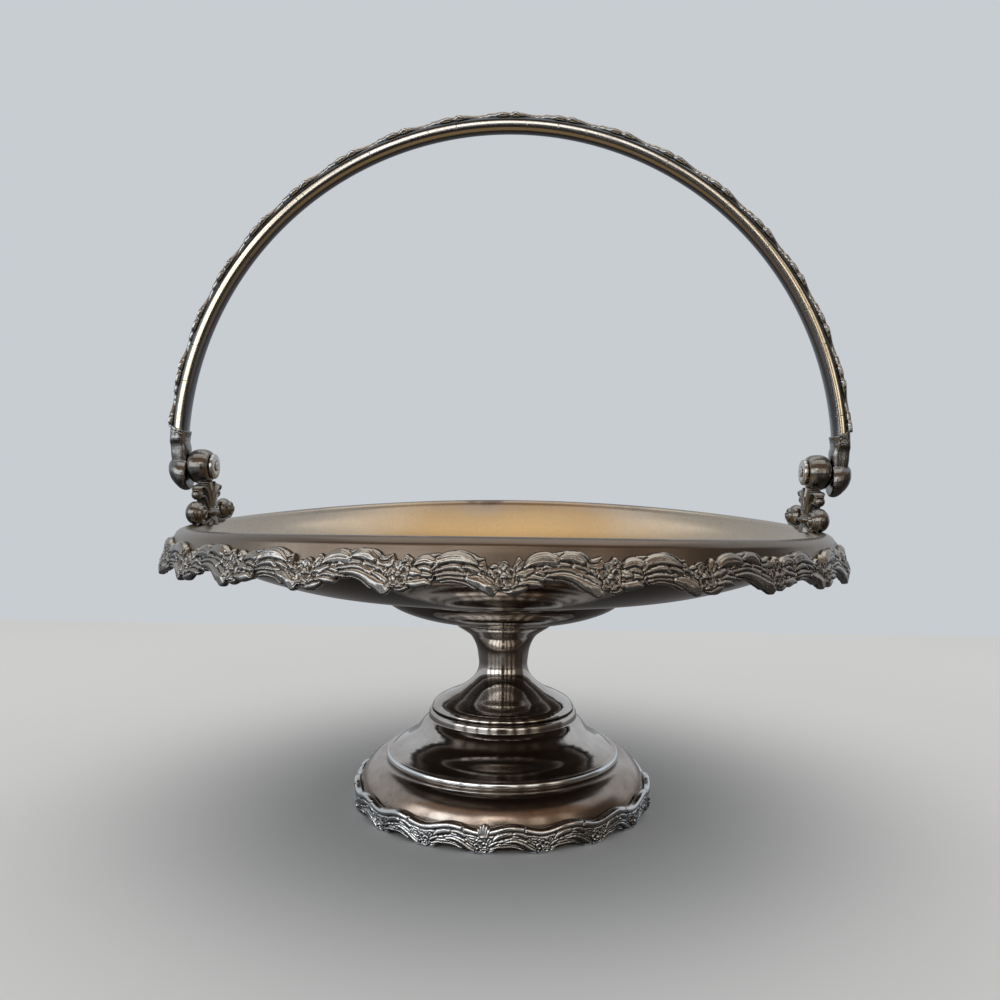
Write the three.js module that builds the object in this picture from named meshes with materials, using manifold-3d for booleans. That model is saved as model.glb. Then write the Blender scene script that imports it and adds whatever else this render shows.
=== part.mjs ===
// A silver-plated pedestal basket: a shallow spun bowl on a waisted stem and a stepped foot,
// cast leaf-and-flower borders round the rim and the foot, and a swing handle
// that turns on two cast lugs soldered to the rim.
// Millimetres, Z up. The foot stands on z = 0, its axis is the Z axis, the front faces -Y,
// and the lugs stand on the X axis.

import * as THREE from "three";
import { mergeVertices } from "three/addons/utils/BufferGeometryUtils.js";
import Module from "manifold-3d";

const wasm = await Module();
wasm.setup();

// Driving dimensions

// Between soldered or turning neighbours
const seam = 0.3;
// Wall of the spun sheet parts
const sheet = 1.1;

// Foot: a spun stepped dome with an upright lip that the stem stands in
const footHeight = 35.8;
const footRadius = 55;
const footLipRadius = 28.4;
const footLipHeight = 3;
const footLipWidth = 1.4;
const footNestDepth = 1.4;
const footNestHoleRadius = 9;
const footBeadRadius = 43.8;
const footBeadLevel = 19.1;
const footBeadRound = 1.5;
const footSeatHeight = 7.4;
const footBaseWidth = 4;
// Upper tier from lip to bead: shares of the way outwards and downwards
const upperTier = [[0.14, 0.15], [0.35, 0.48], [0.56, 0.69], [0.8, 0.83]];
// Lower tier from bead to seat
const lowerTier = [[0.38, 0.03], [0.65, 0.25], [0.86, 0.51]];

// Stem: a spun tube, flared at both ends
const stemHeight = 34.7;
const stemWaistRadius = 9.7;
const stemTopRadius = 18.2;
const stemWall = 1.4;
const stemBeadProud = 0.9;
// Shares of the height, and of the way from the waist out to the foot's or the top's radius
const stemFootFlare = [[0.14, 0.93], [0.18, 0.76], [0.24, 0.56], [0.33, 0.25], [0.45, 0.07]];
const stemTopFlare = [[0.7, 0.04], [0.82, 0.24], [0.91, 0.5], [0.965, 0.92]];
const stemWaistShare = 0.58;

// Support cup: a shallow spun saucer between stem and bowl
const cupRadius = 47.5;
const cupHeight = 11;
const cupFloorRadius = 16;
// Shares of the way out and of the height
const cupShape = [[0.44, 0.19], [0.76, 0.46], [0.92, 0.71]];

// Bowl: a spun dish whose rim folds over and hangs down as a flange
const bowlRadius = 118.1;
const bowlDepth = 31.9;
const bowlFloorRadius = 34;
const bowlCrestWidth = 5;
const crestInnerFall = 2.2;
const crestOuterFall = 3;
const flangeDrop = 8.8;
const flangeFlare = 1.2;
const rimSag = 5;
const rimSagStart = 60;
// Shares of the way from the floor's edge out to the crest, and of the depth
const bowlShape = [[0.14, 0.05], [0.39, 0.15], [0.53, 0.21], [0.64, 0.31], [0.76, 0.45], [0.86, 0.59], [0.95, 0.76]];

// Cast border on the flange of the rim
const rimBorderRepeats = 28;
const rimBorderProud = 3.6;
const rimBorderTop = 3.2;
const rimLobeHeight = 8.2;
const rimArchHeight = 7.1;
const rimBorderWave = 2;
const rimBorderEdge = 0.9;
const rimFlowerRadius = 3.4;
const rimFlowerHeight = 0.5;
// Share of the way down the lobe
const rimFlowerDepth = 0.6;

// Cast border round the foot
const footBorderRepeats = 17;
const footBorderTurn = -6;
const footBorderProud = 2.4;
const footLobeHeight = 5.9;
const footArchHeight = 6.5;
const footBorderWave = 3.6;
const footBorderEdge = 0.8;

// Small fluted shell over the joint of the foot's border
const shellWidth = 5.2;
const shellHeight = 5.4;
const shellDepth = 1.8;
const shellOverlap = 0.4;
const shellFlutes = 5;

// Lugs: cast ears that carry the handle's pivots
const lugHeight = 21.8;
const lugInset = 2.6;
const lugLean = 2;
const lugBarrelRadius = 6.8;
const lugBarrelLength = 8.4;
const lugBarrelBack = -0.1;
const lugBarrelCrown = 1.4;
const lugThickness = 5;
const voluteRadius = 4.8;
const voluteOffset = 16.5;
const voluteDepth = 7;
const voluteLean = 0.6;
const voluteLift = 0.3;
const voluteCrown = 1.1;
const volutePathLift = 1.8;
const volutePathLow = 1.2;
const voluteBand = 1.9;
const voluteTurns = 1.15;
const eyeRadius = 2.1;
const leafCount = 5;
const leafLength = 12.6;
const leafWidth = 3.6;
const leafSpread = 24;
const tipBallRadius = 2;
const beadRadius = 1.4;
const collarRadius = 3.5;
const collarHeight = 1.4;
const collarLift = 3.8;
const postHeight = 6;

// Pivots: a headed pin through each lug, riveted over a washer
const pinRadius = 1.6;
const pinHeadRadius = 3.2;
const pinHeadThickness = 0.8;
const pinHeadRound = 0.4;
const pinRivetProud = 0.5;
const washerRadius = 4.9;
const washerThickness = 1.6;
const washerRound = 0.5;

// Handle: a half-round bow with a cast strip on its flat outer face
const archOutset = 0.3;
const archRise = 3.3;
const bowDepth = 4.9;
const bowWidth = 8.6;
const stripThickness = 0.9;
const stripWidth = 8;
const stripCrests = 18;
const stripCrestHeight = 0.7;

// Handle ends: a drop-shaped knuckle and a ferrule that holds the bow
const knuckleRadius = 6;
const knuckleLength = 6.6;
const knuckleDrop = 2.3;
// From the barrel's side outwards: shares of the length and of the radius
const knuckleShape = [[0, 0.83], [0.08, 0.95], [0.2, 1], [0.34, 0.97], [0.52, 0.86], [0.7, 0.74], [0.86, 0.64], [1, 0.55]];
const ferruleHeight = 15.3;
const ferruleNeckHeight = 5.4;
const ferruleNeckDepth = 5.4;
const ferruleNeckWidth = 7.4;
const ferruleNeckLean = 0.7;
const ferruleSwell = 2.8;
const ferruleWall = 0.5;
const socketDepth = 5.5;

// Facets round each form
const bowlSides = 56;
const footSides = 36;
const stemSides = 28;
const smallSides = 12;
const bowSteps = 32;
const bowArcSteps = 6;
const stepsPerRepeat = 4;
const stepsPerCrest = 3;
const voluteSteps = 8;
const ferruleSides = 12;

// Levels and places that follow from the sizes

const nestLevel = footHeight - footNestDepth;
const stemBottom = nestLevel + seam;
const stemTop = stemBottom + stemHeight;
const cupBottom = stemTop + seam;
const cupTop = cupBottom + cupHeight;
const stemFootRadius = footLipRadius - footLipWidth - seam;

// Geometry helpers

const point = (x, y) => new THREE.Vector2(x, y);

// Points part of the way from one to another, by a list of shares along x and along y.
function between(from, to, shares) {
  const { lerp } = THREE.MathUtils;
  return shares.map(([along, up]) => point(lerp(from.x, to.x, along), lerp(from.y, to.y, up)));
}

// A point of a curve's polyline at a given radius, by straight interpolation.
function heightAt(points, radius) {
  for (let i = 1; i < points.length; i++) {
    const a = points[i - 1];
    const b = points[i];
    if ((a.x - radius) * (b.x - radius) <= 0 && a.x !== b.x) {
      return THREE.MathUtils.mapLinear(radius, a.x, b.x, a.y, b.y);
    }
  }
  throw new Error("the outline doesn't reach " + radius);
}

// The other way round: a radius at a given height.
function radiusAt(points, height) {
  const flipped = points.map((p) => point(p.y, p.x));
  return heightAt(flipped, height);
}

// The outline moved sideways by a distance, to its right as it is drawn.
function offset(points, distance) {
  return points.map((p, i) => {
    const before = points[Math.max(i - 1, 0)];
    const after = points[Math.min(i + 1, points.length - 1)];
    const inward = p.clone().sub(before).normalize();
    const outward = after.clone().sub(p).normalize();
    const along = inward.add(outward).normalize();
    return point(p.x + along.y * distance, p.y - along.x * distance);
  });
}

// A bare indexed geometry whose faces are turned outwards.
function outwards(geometry) {
  const bare = geometry.clone();
  bare.deleteAttribute("normal");
  bare.deleteAttribute("uv");
  const merged = mergeVertices(bare, 1e-4);
  const place = merged.attributes.position;
  const source = merged.index.array;
  const kept = [];
  for (let i = 0; i < source.length; i += 3) {
    const [a, b, c] = source.slice(i, i + 3);
    if (a !== b && b !== c && c !== a) kept.push(a, b, c);
  }
  const corner = (i) => new THREE.Vector3().fromBufferAttribute(place, i);
  let volume = 0;
  for (let i = 0; i < kept.length; i += 3) {
    volume += corner(kept[i]).dot(corner(kept[i + 1]).cross(corner(kept[i + 2])));
  }
  if (volume < 0) kept.reverse();
  return merged.setIndex(kept);
}

// A closed outline of radius and height turned about the Z axis.
function turned(outline, sides) {
  const closed = [...outline, outline[0].clone()];
  return outwards(new THREE.LatheGeometry(closed, sides).rotateX(Math.PI / 2));
}

// The same about the X axis, with x along the outline's second coordinate.
function turnedAboutX(outline, sides) {
  const closed = [...outline, outline[0].clone()];
  return outwards(new THREE.LatheGeometry(closed, sides).rotateZ(-Math.PI / 2));
}

// A skin over rings of points, joined end to end or capped at both ends.
function skin(rings, isLoop) {
  const count = rings[0].length;
  const corners = rings.flat();
  const faces = [];
  const spans = isLoop ? rings.length : rings.length - 1;
  for (let i = 0; i < spans; i++) {
    const here = i * count;
    const next = ((i + 1) % rings.length) * count;
    for (let j = 0; j < count; j++) {
      const k = (j + 1) % count;
      faces.push(here + j, here + k, next + k, here + j, next + k, next + j);
    }
  }
  if (!isLoop) {
    const last = (rings.length - 1) * count;
    for (let j = 1; j < count - 1; j++) {
      faces.push(0, j + 1, j, last, last + j, last + j + 1);
    }
  }
  const geometry = new THREE.BufferGeometry().setFromPoints(corners).setIndex(faces);
  return outwards(geometry);
}

function toSolid(geometry) {
  const clean = outwards(geometry);
  const mesh = new wasm.Mesh({
    numProp: 3,
    vertProperties: clean.attributes.position.array,
    triVerts: new Uint32Array(clean.index.array),
  });
  return new wasm.Manifold(mesh);
}

function toGeometry(solid) {
  const mesh = solid.getMesh();
  const place = new THREE.BufferAttribute(mesh.vertProperties, mesh.numProp);
  return new THREE.BufferGeometry()
    .setAttribute("position", place)
    .setIndex(new THREE.BufferAttribute(mesh.triVerts, 1));
}

function joined(geometries) {
  return geometries.map(toSolid).reduce((whole, solid) => whole.add(solid));
}

// Finishes, one for each kind of surface

const finish = (color, roughness) =>
  new THREE.MeshStandardMaterial({ color, roughness, metalness: 1 });
const bowlSilver = finish(0x9c8f7d, 0.34);
const footSilver = finish(0x6f6760, 0.24);
const castSilver = finish(0x6b665c, 0.42);
const handleSilver = finish(0x8e8270, 0.28);
const pinSilver = finish(0x7a746a, 0.35);

const basket = new THREE.Group();
const handle = new THREE.Group();

function addPiece(group, name, geometry, material) {
  const mesh = new THREE.Mesh(geometry, material);
  mesh.name = name;
  group.add(mesh);
  return mesh;
}

// Foot

// The outer side from under the lip, over the upper tier, the bead and the lower tier.
const neck = point(footLipRadius + footLipWidth * 0.3, footHeight - footLipHeight);
const bead = [110, 50, -10, -70].map((angle) => {
  const turn = THREE.MathUtils.degToRad(angle);
  return point(
    footBeadRadius + footBeadRound * Math.cos(turn),
    footBeadLevel + footBeadRound * Math.sin(turn),
  );
});
const seat = point(footRadius, footSeatHeight);
const upperFlank = [neck, ...between(neck, bead[0], upperTier)];
const lowerFlank = [...between(bead.at(-1), seat, lowerTier), seat];
const footFlank = [...upperFlank, ...bead, ...lowerFlank];

function footGeometry() {
  const lipInner = footLipRadius - footLipWidth;
  const lip = [
    point(footNestHoleRadius, nestLevel),
    point(lipInner, nestLevel),
    point(lipInner, footHeight - footLipWidth * 0.3),
    point(lipInner + footLipWidth * 0.5, footHeight),
    point(footLipRadius, footHeight - footLipWidth * 0.3),
    point(footLipRadius + footLipWidth * 0.2, footHeight - footLipHeight / 2),
  ];
  const base = [
    point(footRadius, 0),
    point(footRadius - footBaseWidth, 0),
    point(footRadius - footBaseWidth, sheet),
    point(footRadius - sheet, sheet),
  ];
  const smooth = [...upperFlank, point(footBeadRadius, footBeadLevel), ...lowerFlank];
  const under = offset(smooth, sheet).filter((p, i) => i % 2 === 0).reverse();
  const ceiling = [
    point(under.at(-1).x, nestLevel - sheet),
    point(footNestHoleRadius, nestLevel - sheet),
  ];
  return turned([...lip, ...footFlank, ...base, ...under, ...ceiling], footSides);
}

addPiece(basket, "foot", footGeometry(), footSilver);

// Stem

// The stem's flank, from the bead that stands on the foot's lip to the flare under the cup.
function stemFlank() {
  const bead = stemFootRadius + stemBeadProud;
  const beadLevel = footHeight + seam;
  const waist = point(stemWaistRadius, stemBottom);
  return [
    point(stemFootRadius, stemBottom),
    point(stemFootRadius, beadLevel),
    point(bead, beadLevel),
    point(bead, beadLevel + stemBeadProud),
    ...between(waist, point(stemFootRadius, stemTop), stemFootFlare.map(([up, out]) => [out, up])),
    point(stemWaistRadius, stemBottom + stemWaistShare * stemHeight),
    ...between(waist, point(stemTopRadius, stemTop), stemTopFlare.map(([up, out]) => [out, up])),
    point(stemTopRadius, stemTop),
  ];
}

function stemGeometry() {
  const outside = stemFlank();
  const bore = outside.slice(4, -1).filter((p, i) => i % 2 === 0);
  const inside = offset(bore, -stemWall).reverse();
  const throat = point(inside[0].x, stemTop);
  const mouth = [
    point(stemFootRadius - stemWall, footHeight),
    point(stemFootRadius - stemWall, stemBottom),
  ];
  return turned([...outside, throat, ...inside, ...mouth], stemSides);
}

addPiece(basket, "stem", stemGeometry(), footSilver);

// Support cup

function cupGeometry() {
  const floor = point(cupFloorRadius, cupBottom);
  const lip = point(cupRadius, cupTop);
  const wall = [floor, ...between(floor, lip, cupShape), lip];
  const inside = offset(wall, -sheet);
  inside[0].y = cupBottom + sheet;
  inside.at(-1).y = cupTop;
  const outline = [point(0, cupBottom), ...wall, ...inside.reverse(), point(0, cupBottom + sheet)];
  return turned(outline, stemSides);
}

addPiece(basket, "support_cup", cupGeometry(), footSilver);

// Bowl

const shoulderRadius = bowlRadius + bowlCrestWidth * 0.75;
const flangeSlope = flangeFlare / (flangeDrop - crestOuterFall);

// Part of the rounded crest, at angles from its side to its top.
function crestRound(reach, fall, angles) {
  return angles.map((angle) => {
    const turn = THREE.MathUtils.degToRad(angle);
    return point(bowlRadius + reach * Math.cos(turn), bowlDepth - fall * (1 - Math.sin(turn)));
  });
}

// The upper side of the sheet, with the floor at height 0: the dish, the crest and the flange.
const floorEdge = point(bowlFloorRadius, 0);
const crestInner = point(bowlRadius - bowlCrestWidth / 2, bowlDepth);
const bowlFace = [
  point(0, 0),
  floorEdge,
  ...between(floorEdge, crestInner, bowlShape),
  ...crestRound(crestInner.x - bowlRadius, crestInnerFall, [0, 50, 90]),
  ...crestRound(shoulderRadius - bowlRadius, crestOuterFall, [55, 25, 0]),
  point(shoulderRadius + flangeFlare, bowlDepth - flangeDrop),
];
const bowlUnderside = offset(bowlFace.filter((p, i) => i < 2 || i % 2 === 1), sheet);
const bowlFloor = cupTop + seam - heightAt(bowlUnderside, cupRadius);
const rimLevel = bowlFloor + bowlDepth;

// How far the rim has sagged at a place: nothing at front and back, most at the lugs.
function sagAt(x, y) {
  const radius = Math.hypot(x, y);
  const share = THREE.MathUtils.smoothstep(radius, rimSagStart, bowlRadius);
  return share > 0 ? rimSag * share * (x / radius) ** 2 : 0;
}

function sagged(geometry) {
  const place = geometry.attributes.position;
  for (let i = 0; i < place.count; i++) {
    place.setZ(i, place.getZ(i) - sagAt(place.getX(i), place.getY(i)));
  }
  return geometry;
}

function bowlGeometry() {
  const under = bowlUnderside.toReversed();
  under.at(-1).x = 0;
  const section = [...bowlFace, ...under];
  return sagged(turned(section, bowlSides).translate(0, 0, bowlFloor));
}

addPiece(basket, "bowl", bowlGeometry(), bowlSilver);

// Rim border

// One repeat runs from flower to flower: 0 at a flower's lobe, 1 at the top of the arch between.
const archShare = (turns) => 0.5 - 0.5 * Math.cos(2 * Math.PI * turns);

// A band that waves up and down round a core, thick in the middle and thin at its edges.
// Heights run down from the level of its peaks, and its back lies on backRadius(drop).
function waveBand({ repeats, turn, level, lobe, arch, wave, proud, edge, backRadius, boss }) {
  const depths = [0, 0.16, 0.5, 0.86, 1];
  const fullness = [0, 0.68, 1, 0.76, 0.12];
  const steps = repeats * stepsPerRepeat;
  const rings = [];
  for (let i = 0; i < steps; i++) {
    const turns = i / stepsPerRepeat;
    const angle = (2 * Math.PI * i) / steps + THREE.MathUtils.degToRad(turn);
    const share = archShare(turns);
    const top = wave * (1 - share);
    const tall = THREE.MathUtils.lerp(lobe, arch, share);
    const at = (radius, drop) =>
      new THREE.Vector3(radius * Math.sin(angle), -radius * Math.cos(angle), level - drop);
    const front = depths.map((depth, j) => {
      const drop = top + depth * tall;
      const thick = edge + (proud - edge) * fullness[j] + boss(turns, depth);
      return at(backRadius(drop) + thick, drop);
    });
    rings.push([...front, at(backRadius(top + tall), top + tall), at(backRadius(top), top)]);
  }
  return skin(rings, true);
}

function rimBorderGeometry() {
  const band = waveBand({
    repeats: rimBorderRepeats,
    turn: 0,
    level: rimLevel - rimBorderTop,
    lobe: rimLobeHeight,
    arch: rimArchHeight,
    wave: rimBorderWave,
    proud: rimBorderProud,
    edge: rimBorderEdge,
    backRadius: (drop) =>
      shoulderRadius + seam + flangeSlope * Math.max(drop + rimBorderTop - crestOuterFall, 0),
    boss: (turns, depth) => {
      const arc = ((turns - Math.round(turns)) * 2 * Math.PI * bowlRadius) / rimBorderRepeats;
      const distance = Math.hypot(arc, (depth - rimFlowerDepth) * rimLobeHeight);
      return rimFlowerHeight * Math.max(1 - distance / rimFlowerRadius, 0);
    },
  });
  return sagged(band);
}

addPiece(basket, "rim_border", rimBorderGeometry(), castSilver);

// Foot border, and the small shell that stands over its joint

const footDome = offset(lowerFlank, -seam);

function footFace(height) {
  return height > footSeatHeight ? radiusAt(footDome, height) : footRadius + seam;
}

// A fan of flutes that leans on the foot's dome, grown by a margin all round.
function shellGeometry(margin) {
  const rows = 3;
  const columns = shellFlutes * 2;
  const rings = [];
  for (let i = 0; i <= rows; i++) {
    const share = i / rows;
    const height = footLobeHeight - shellOverlap + share * shellHeight;
    const halfWidth = (shellWidth / 2) * Math.sin(Math.PI * (0.18 + 0.62 * share)) + margin;
    const proud = shellDepth * Math.sin(Math.PI * (0.2 + 0.65 * share)) + margin;
    const level = height + margin * (2 * share - 1);
    const back = -footFace(height);
    const front = [];
    for (let j = 0; j <= columns; j++) {
      const across = (2 * j) / columns - 1;
      const flute = margin ? 1 : 1 - 0.3 * (j % 2);
      const crown = Math.sqrt(1 - 0.85 * across ** 2);
      front.push(new THREE.Vector3(across * halfWidth, back - proud * flute * crown, level));
    }
    const backRight = new THREE.Vector3(halfWidth, back + margin, level);
    const backLeft = new THREE.Vector3(-halfWidth, back + margin, level);
    rings.push([...front, backRight, backLeft]);
  }
  return skin(rings, false).rotateZ(THREE.MathUtils.degToRad(footBorderTurn));
}

function footBorderGeometry() {
  const band = waveBand({
    repeats: footBorderRepeats,
    turn: footBorderTurn,
    level: footLobeHeight + footBorderWave,
    lobe: footLobeHeight,
    arch: footArchHeight,
    wave: footBorderWave,
    proud: footBorderProud,
    edge: footBorderEdge,
    backRadius: () => footRadius + seam,
    boss: () => 0,
  });
  return toGeometry(toSolid(band).subtract(toSolid(shellGeometry(seam))));
}

addPiece(basket, "foot_border", footBorderGeometry(), castSilver);
addPiece(basket, "foot_shell", shellGeometry(0), castSilver);

// Lugs and their pivots

const lugLevel = rimLevel - rimSag;
const pivotLevel = lugLevel + lugHeight;
const lugMiddle = bowlRadius - lugInset;
const leafMiddle = lugMiddle + lugLean;
const barrelInner = lugMiddle - lugBarrelBack;
const barrelOuter = barrelInner + lugBarrelLength;
const knuckleInner = barrelOuter + seam;
const knuckleOuter = knuckleInner + knuckleLength;
const boreRadius = pinRadius + seam;
const knuckleMiddle = (knuckleInner + knuckleOuter) / 2;
// The bow stands over the knuckles, its middle a little outside theirs
const archMiddle = knuckleMiddle + archOutset;
const archRadius = archMiddle - bowDepth / 2;

function ballAt(x, y, z, radius) {
  return new THREE.SphereGeometry(radius, 7, 4).rotateX(Math.PI / 2).translate(x, y, z);
}

function barrelOutline() {
  const end = lugBarrelRadius - lugBarrelCrown;
  return [
    point(boreRadius, barrelInner),
    point(end, barrelInner),
    point(lugBarrelRadius, barrelInner + lugBarrelLength * 0.3),
    point(lugBarrelRadius, barrelInner + lugBarrelLength * 0.7),
    point(end, barrelOuter),
    point(boreRadius, barrelOuter),
  ];
}

// A band that runs out from the collar along the rim, round the volute and into its eye.
function voluteGeometry(side) {
  const centre = point(voluteOffset, voluteRadius);
  const middle = [
    point(collarRadius * 0.6, volutePathLift),
    point(voluteOffset * 0.5, volutePathLow),
  ];
  for (let i = 0; i <= voluteSteps; i++) {
    const angle = -Math.PI / 2 + (2 * Math.PI * voluteTurns * i) / voluteSteps;
    const radius = (voluteRadius - voluteBand / 2) * (1 - (0.6 * i) / voluteSteps);
    middle.push(point(centre.x + radius * Math.cos(angle), centre.y + radius * Math.sin(angle)));
  }
  const half = voluteBand / 2;
  const outline = [...offset(middle, half), ...offset(middle, -half).reverse()];
  const band = new THREE.ExtrudeGeometry(new THREE.Shape(outline), {
    depth: voluteDepth - 2 * voluteCrown,
    bevelThickness: voluteCrown,
    bevelSize: voluteCrown * 0.6,
    bevelOffset: -voluteCrown * 0.6,
    bevelSegments: 1,
  });
  const eye = new THREE.CylinderGeometry(eyeRadius, eyeRadius, voluteDepth, 8).rotateX(Math.PI / 2);
  eye.translate(centre.x, centre.y, voluteDepth / 2 - voluteCrown);
  const scroll = toGeometry(joined([band, eye])).translate(0, 0, voluteCrown - voluteDepth / 2);
  scroll.rotateX(Math.PI / 2).rotateZ(Math.PI / 2);
  return side > 0 ? scroll : scroll.rotateZ(Math.PI);
}

// One pointed flute of the palmette, from the collar up to its rounded tip.
function leafGeometry(angle, length) {
  const half = leafWidth / 2;
  const path = new THREE.SplineCurve([
    point(0, 0),
    point(half * 0.5, length * 0.15),
    point(half * 0.8, length * 0.5),
    point(half, length * 0.82),
    point(0, length),
  ]);
  const outline = path.getPoints(3);
  outline[0].x = 0;
  outline.at(-1).x = 0;
  const spindle = new THREE.LatheGeometry(outline, 5).scale(lugThickness / leafWidth, 1, 1);
  return spindle.rotateX(Math.PI / 2).rotateX(-angle);
}

// The space that the bowl's rim takes up, a seam larger, for fitting the lug's feet to it.
function rimSeat() {
  const above = offset(bowlFace, -seam);
  above[0] = point(0, seam);
  const skirt = [point(above.at(-1).x, -2), point(0, -2)];
  const block = turned([...above, ...skirt], bowlSides).translate(0, 0, bowlFloor);
  return toSolid(sagged(block));
}

function boreAlongX(inner, outer) {
  const run = 5;
  return toSolid(turnedAboutX([
    point(0, inner - run),
    point(boreRadius, inner - run),
    point(boreRadius, outer + run),
    point(0, outer + run),
  ], smallSides));
}

function lugGeometry() {
  const { degToRad } = THREE.MathUtils;
  const collarLevel = lugLevel + collarLift;
  const parts = [turnedAboutX(barrelOutline(), smallSides).translate(0, 0, pivotLevel)];
  const post = new THREE.CylinderGeometry(collarRadius * 0.75, collarRadius * 0.9, postHeight, 8);
  parts.push(post.rotateX(Math.PI / 2).translate(lugMiddle, 0, collarLevel - postHeight * 0.37));
  const collar = new THREE.CylinderGeometry(collarRadius, collarRadius, collarHeight, 8);
  parts.push(collar.rotateX(Math.PI / 2).translate(leafMiddle - lugLean / 2, 0, collarLevel));
  const outermost = (leafCount - 1) / 2;
  for (let i = -outermost; i <= outermost; i++) {
    const leaf = leafGeometry(degToRad(leafSpread * i), leafLength);
    parts.push(leaf.translate(leafMiddle, 0, collarLevel));
  }
  const tip = degToRad(leafSpread * outermost);
  const tipY = leafLength * Math.sin(tip);
  const tipZ = collarLevel + leafLength * Math.cos(tip);
  const beadZ = tipZ + tipBallRadius + beadRadius * 0.8;
  const beadY = (tipY + Math.sqrt(lugBarrelRadius ** 2 - (pivotLevel - beadZ) ** 2)) / 2;
  for (const side of [-1, 1]) {
    const scroll = voluteGeometry(side);
    parts.push(scroll.translate(lugMiddle + voluteLean, 0, lugLevel + voluteLift));
    parts.push(ballAt(leafMiddle, side * tipY, tipZ, tipBallRadius));
    parts.push(ballAt(leafMiddle, side * beadY, beadZ, beadRadius));
  }
  const bore = boreAlongX(barrelInner, barrelOuter).translate([0, 0, pivotLevel]);
  return toGeometry(joined(parts).subtract(bore).subtract(rimSeat()));
}

function pinGeometry() {
  const rivetEnd = barrelInner - seam - washerThickness - pinRivetProud;
  const headInner = knuckleOuter + seam;
  const headOuter = headInner + pinHeadThickness;
  return turnedAboutX(
    [point(0, rivetEnd), point(pinRadius, rivetEnd), point(pinRadius, headInner),
      point(pinHeadRadius, headInner), point(pinHeadRadius, headOuter - pinHeadRound),
      point(pinHeadRadius - pinHeadRound, headOuter), point(0, headOuter)],
    smallSides,
  );
}

function washerGeometry() {
  const outer = barrelInner - seam;
  const inner = outer - washerThickness;
  return turnedAboutX(
    [point(boreRadius, inner), point(washerRadius - washerRound, inner),
      point(washerRadius, inner + washerRound),
      point(washerRadius, outer), point(boreRadius, outer)],
    smallSides,
  );
}

const lug = lugGeometry();
const pin = pinGeometry();
const washer = washerGeometry();
for (const [side, turn] of [["right", 0], ["left", Math.PI]]) {
  addPiece(basket, "lug_" + side, lug, castSilver).rotation.z = turn;
  const pinMesh = addPiece(basket, "pivot_pin_" + side, pin, pinSilver);
  const washerMesh = addPiece(basket, "pivot_washer_" + side, washer, pinSilver);
  for (const mesh of [pinMesh, washerMesh]) {
    mesh.position.z = pivotLevel;
    mesh.rotation.z = turn;
  }
}

// Handle, drawn about its pivot axis and then raised to it

handle.position.z = pivotLevel;

const flatRadius = archRadius + bowDepth;
const stripInner = flatRadius + seam;

// A place on the arch: along its angle, at a radius from its centre and a distance across it.
function onArch(angle, radius, across) {
  return new THREE.Vector3(radius * Math.cos(angle), across, archRise + radius * Math.sin(angle));
}

// The half-round section, flat side outwards, grown by a margin all round.
function bowSection(margin) {
  const section = [];
  const edge = 0.6;
  for (let i = 0; i <= bowArcSteps; i++) {
    const angle = (Math.PI * i) / bowArcSteps;
    const across = (bowWidth / 2 + margin) * Math.cos(angle);
    section.push(point(across, flatRadius - edge - (bowDepth - edge + margin) * Math.sin(angle)));
  }
  section.push(point(-bowWidth / 2 - margin, flatRadius + margin));
  section.push(point(bowWidth / 2 + margin, flatRadius + margin));
  return section;
}

// The bow's ends stand in the ferrules' sockets.
const bowEndHeight = ferruleHeight - socketDepth + seam;
const bowEndAngle = Math.asin((bowEndHeight - archRise) / archMiddle);

function sweptBow(startAngle, endAngle, steps, margin) {
  const section = bowSection(margin);
  const rings = [];
  for (let i = 0; i <= steps; i++) {
    const angle = THREE.MathUtils.lerp(startAngle, endAngle, i / steps);
    rings.push(section.map((p) => onArch(angle, p.y, p.x)));
  }
  return skin(rings, false);
}

addPiece(handle, "handle_bow", sweptBow(bowEndAngle, Math.PI - bowEndAngle, bowSteps, 0), handleSilver);

// The strip stops just above the ferrules.
function stripGeometry() {
  const start = Math.asin((ferruleHeight + seam - archRise) / stripInner);
  const steps = stripCrests * stepsPerCrest;
  const rings = [];
  for (let i = 0; i <= steps; i++) {
    const share = i / steps;
    const angle = THREE.MathUtils.lerp(start, Math.PI - start, share);
    const crest = archShare(share * stripCrests - 0.5);
    const half = stripWidth / 2 - 0.35 * (1 - crest);
    const outer = stripInner + stripThickness;
    rings.push([
      onArch(angle, stripInner, half),
      onArch(angle, outer - 0.3, half),
      onArch(angle, outer + stripCrestHeight * crest, half * 0.4),
      onArch(angle, outer + stripCrestHeight * crest, -half * 0.4),
      onArch(angle, outer - 0.3, -half),
      onArch(angle, stripInner, -half),
    ]);
  }
  return skin(rings, false);
}

addPiece(handle, "handle_strip", stripGeometry(), castSilver);

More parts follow.
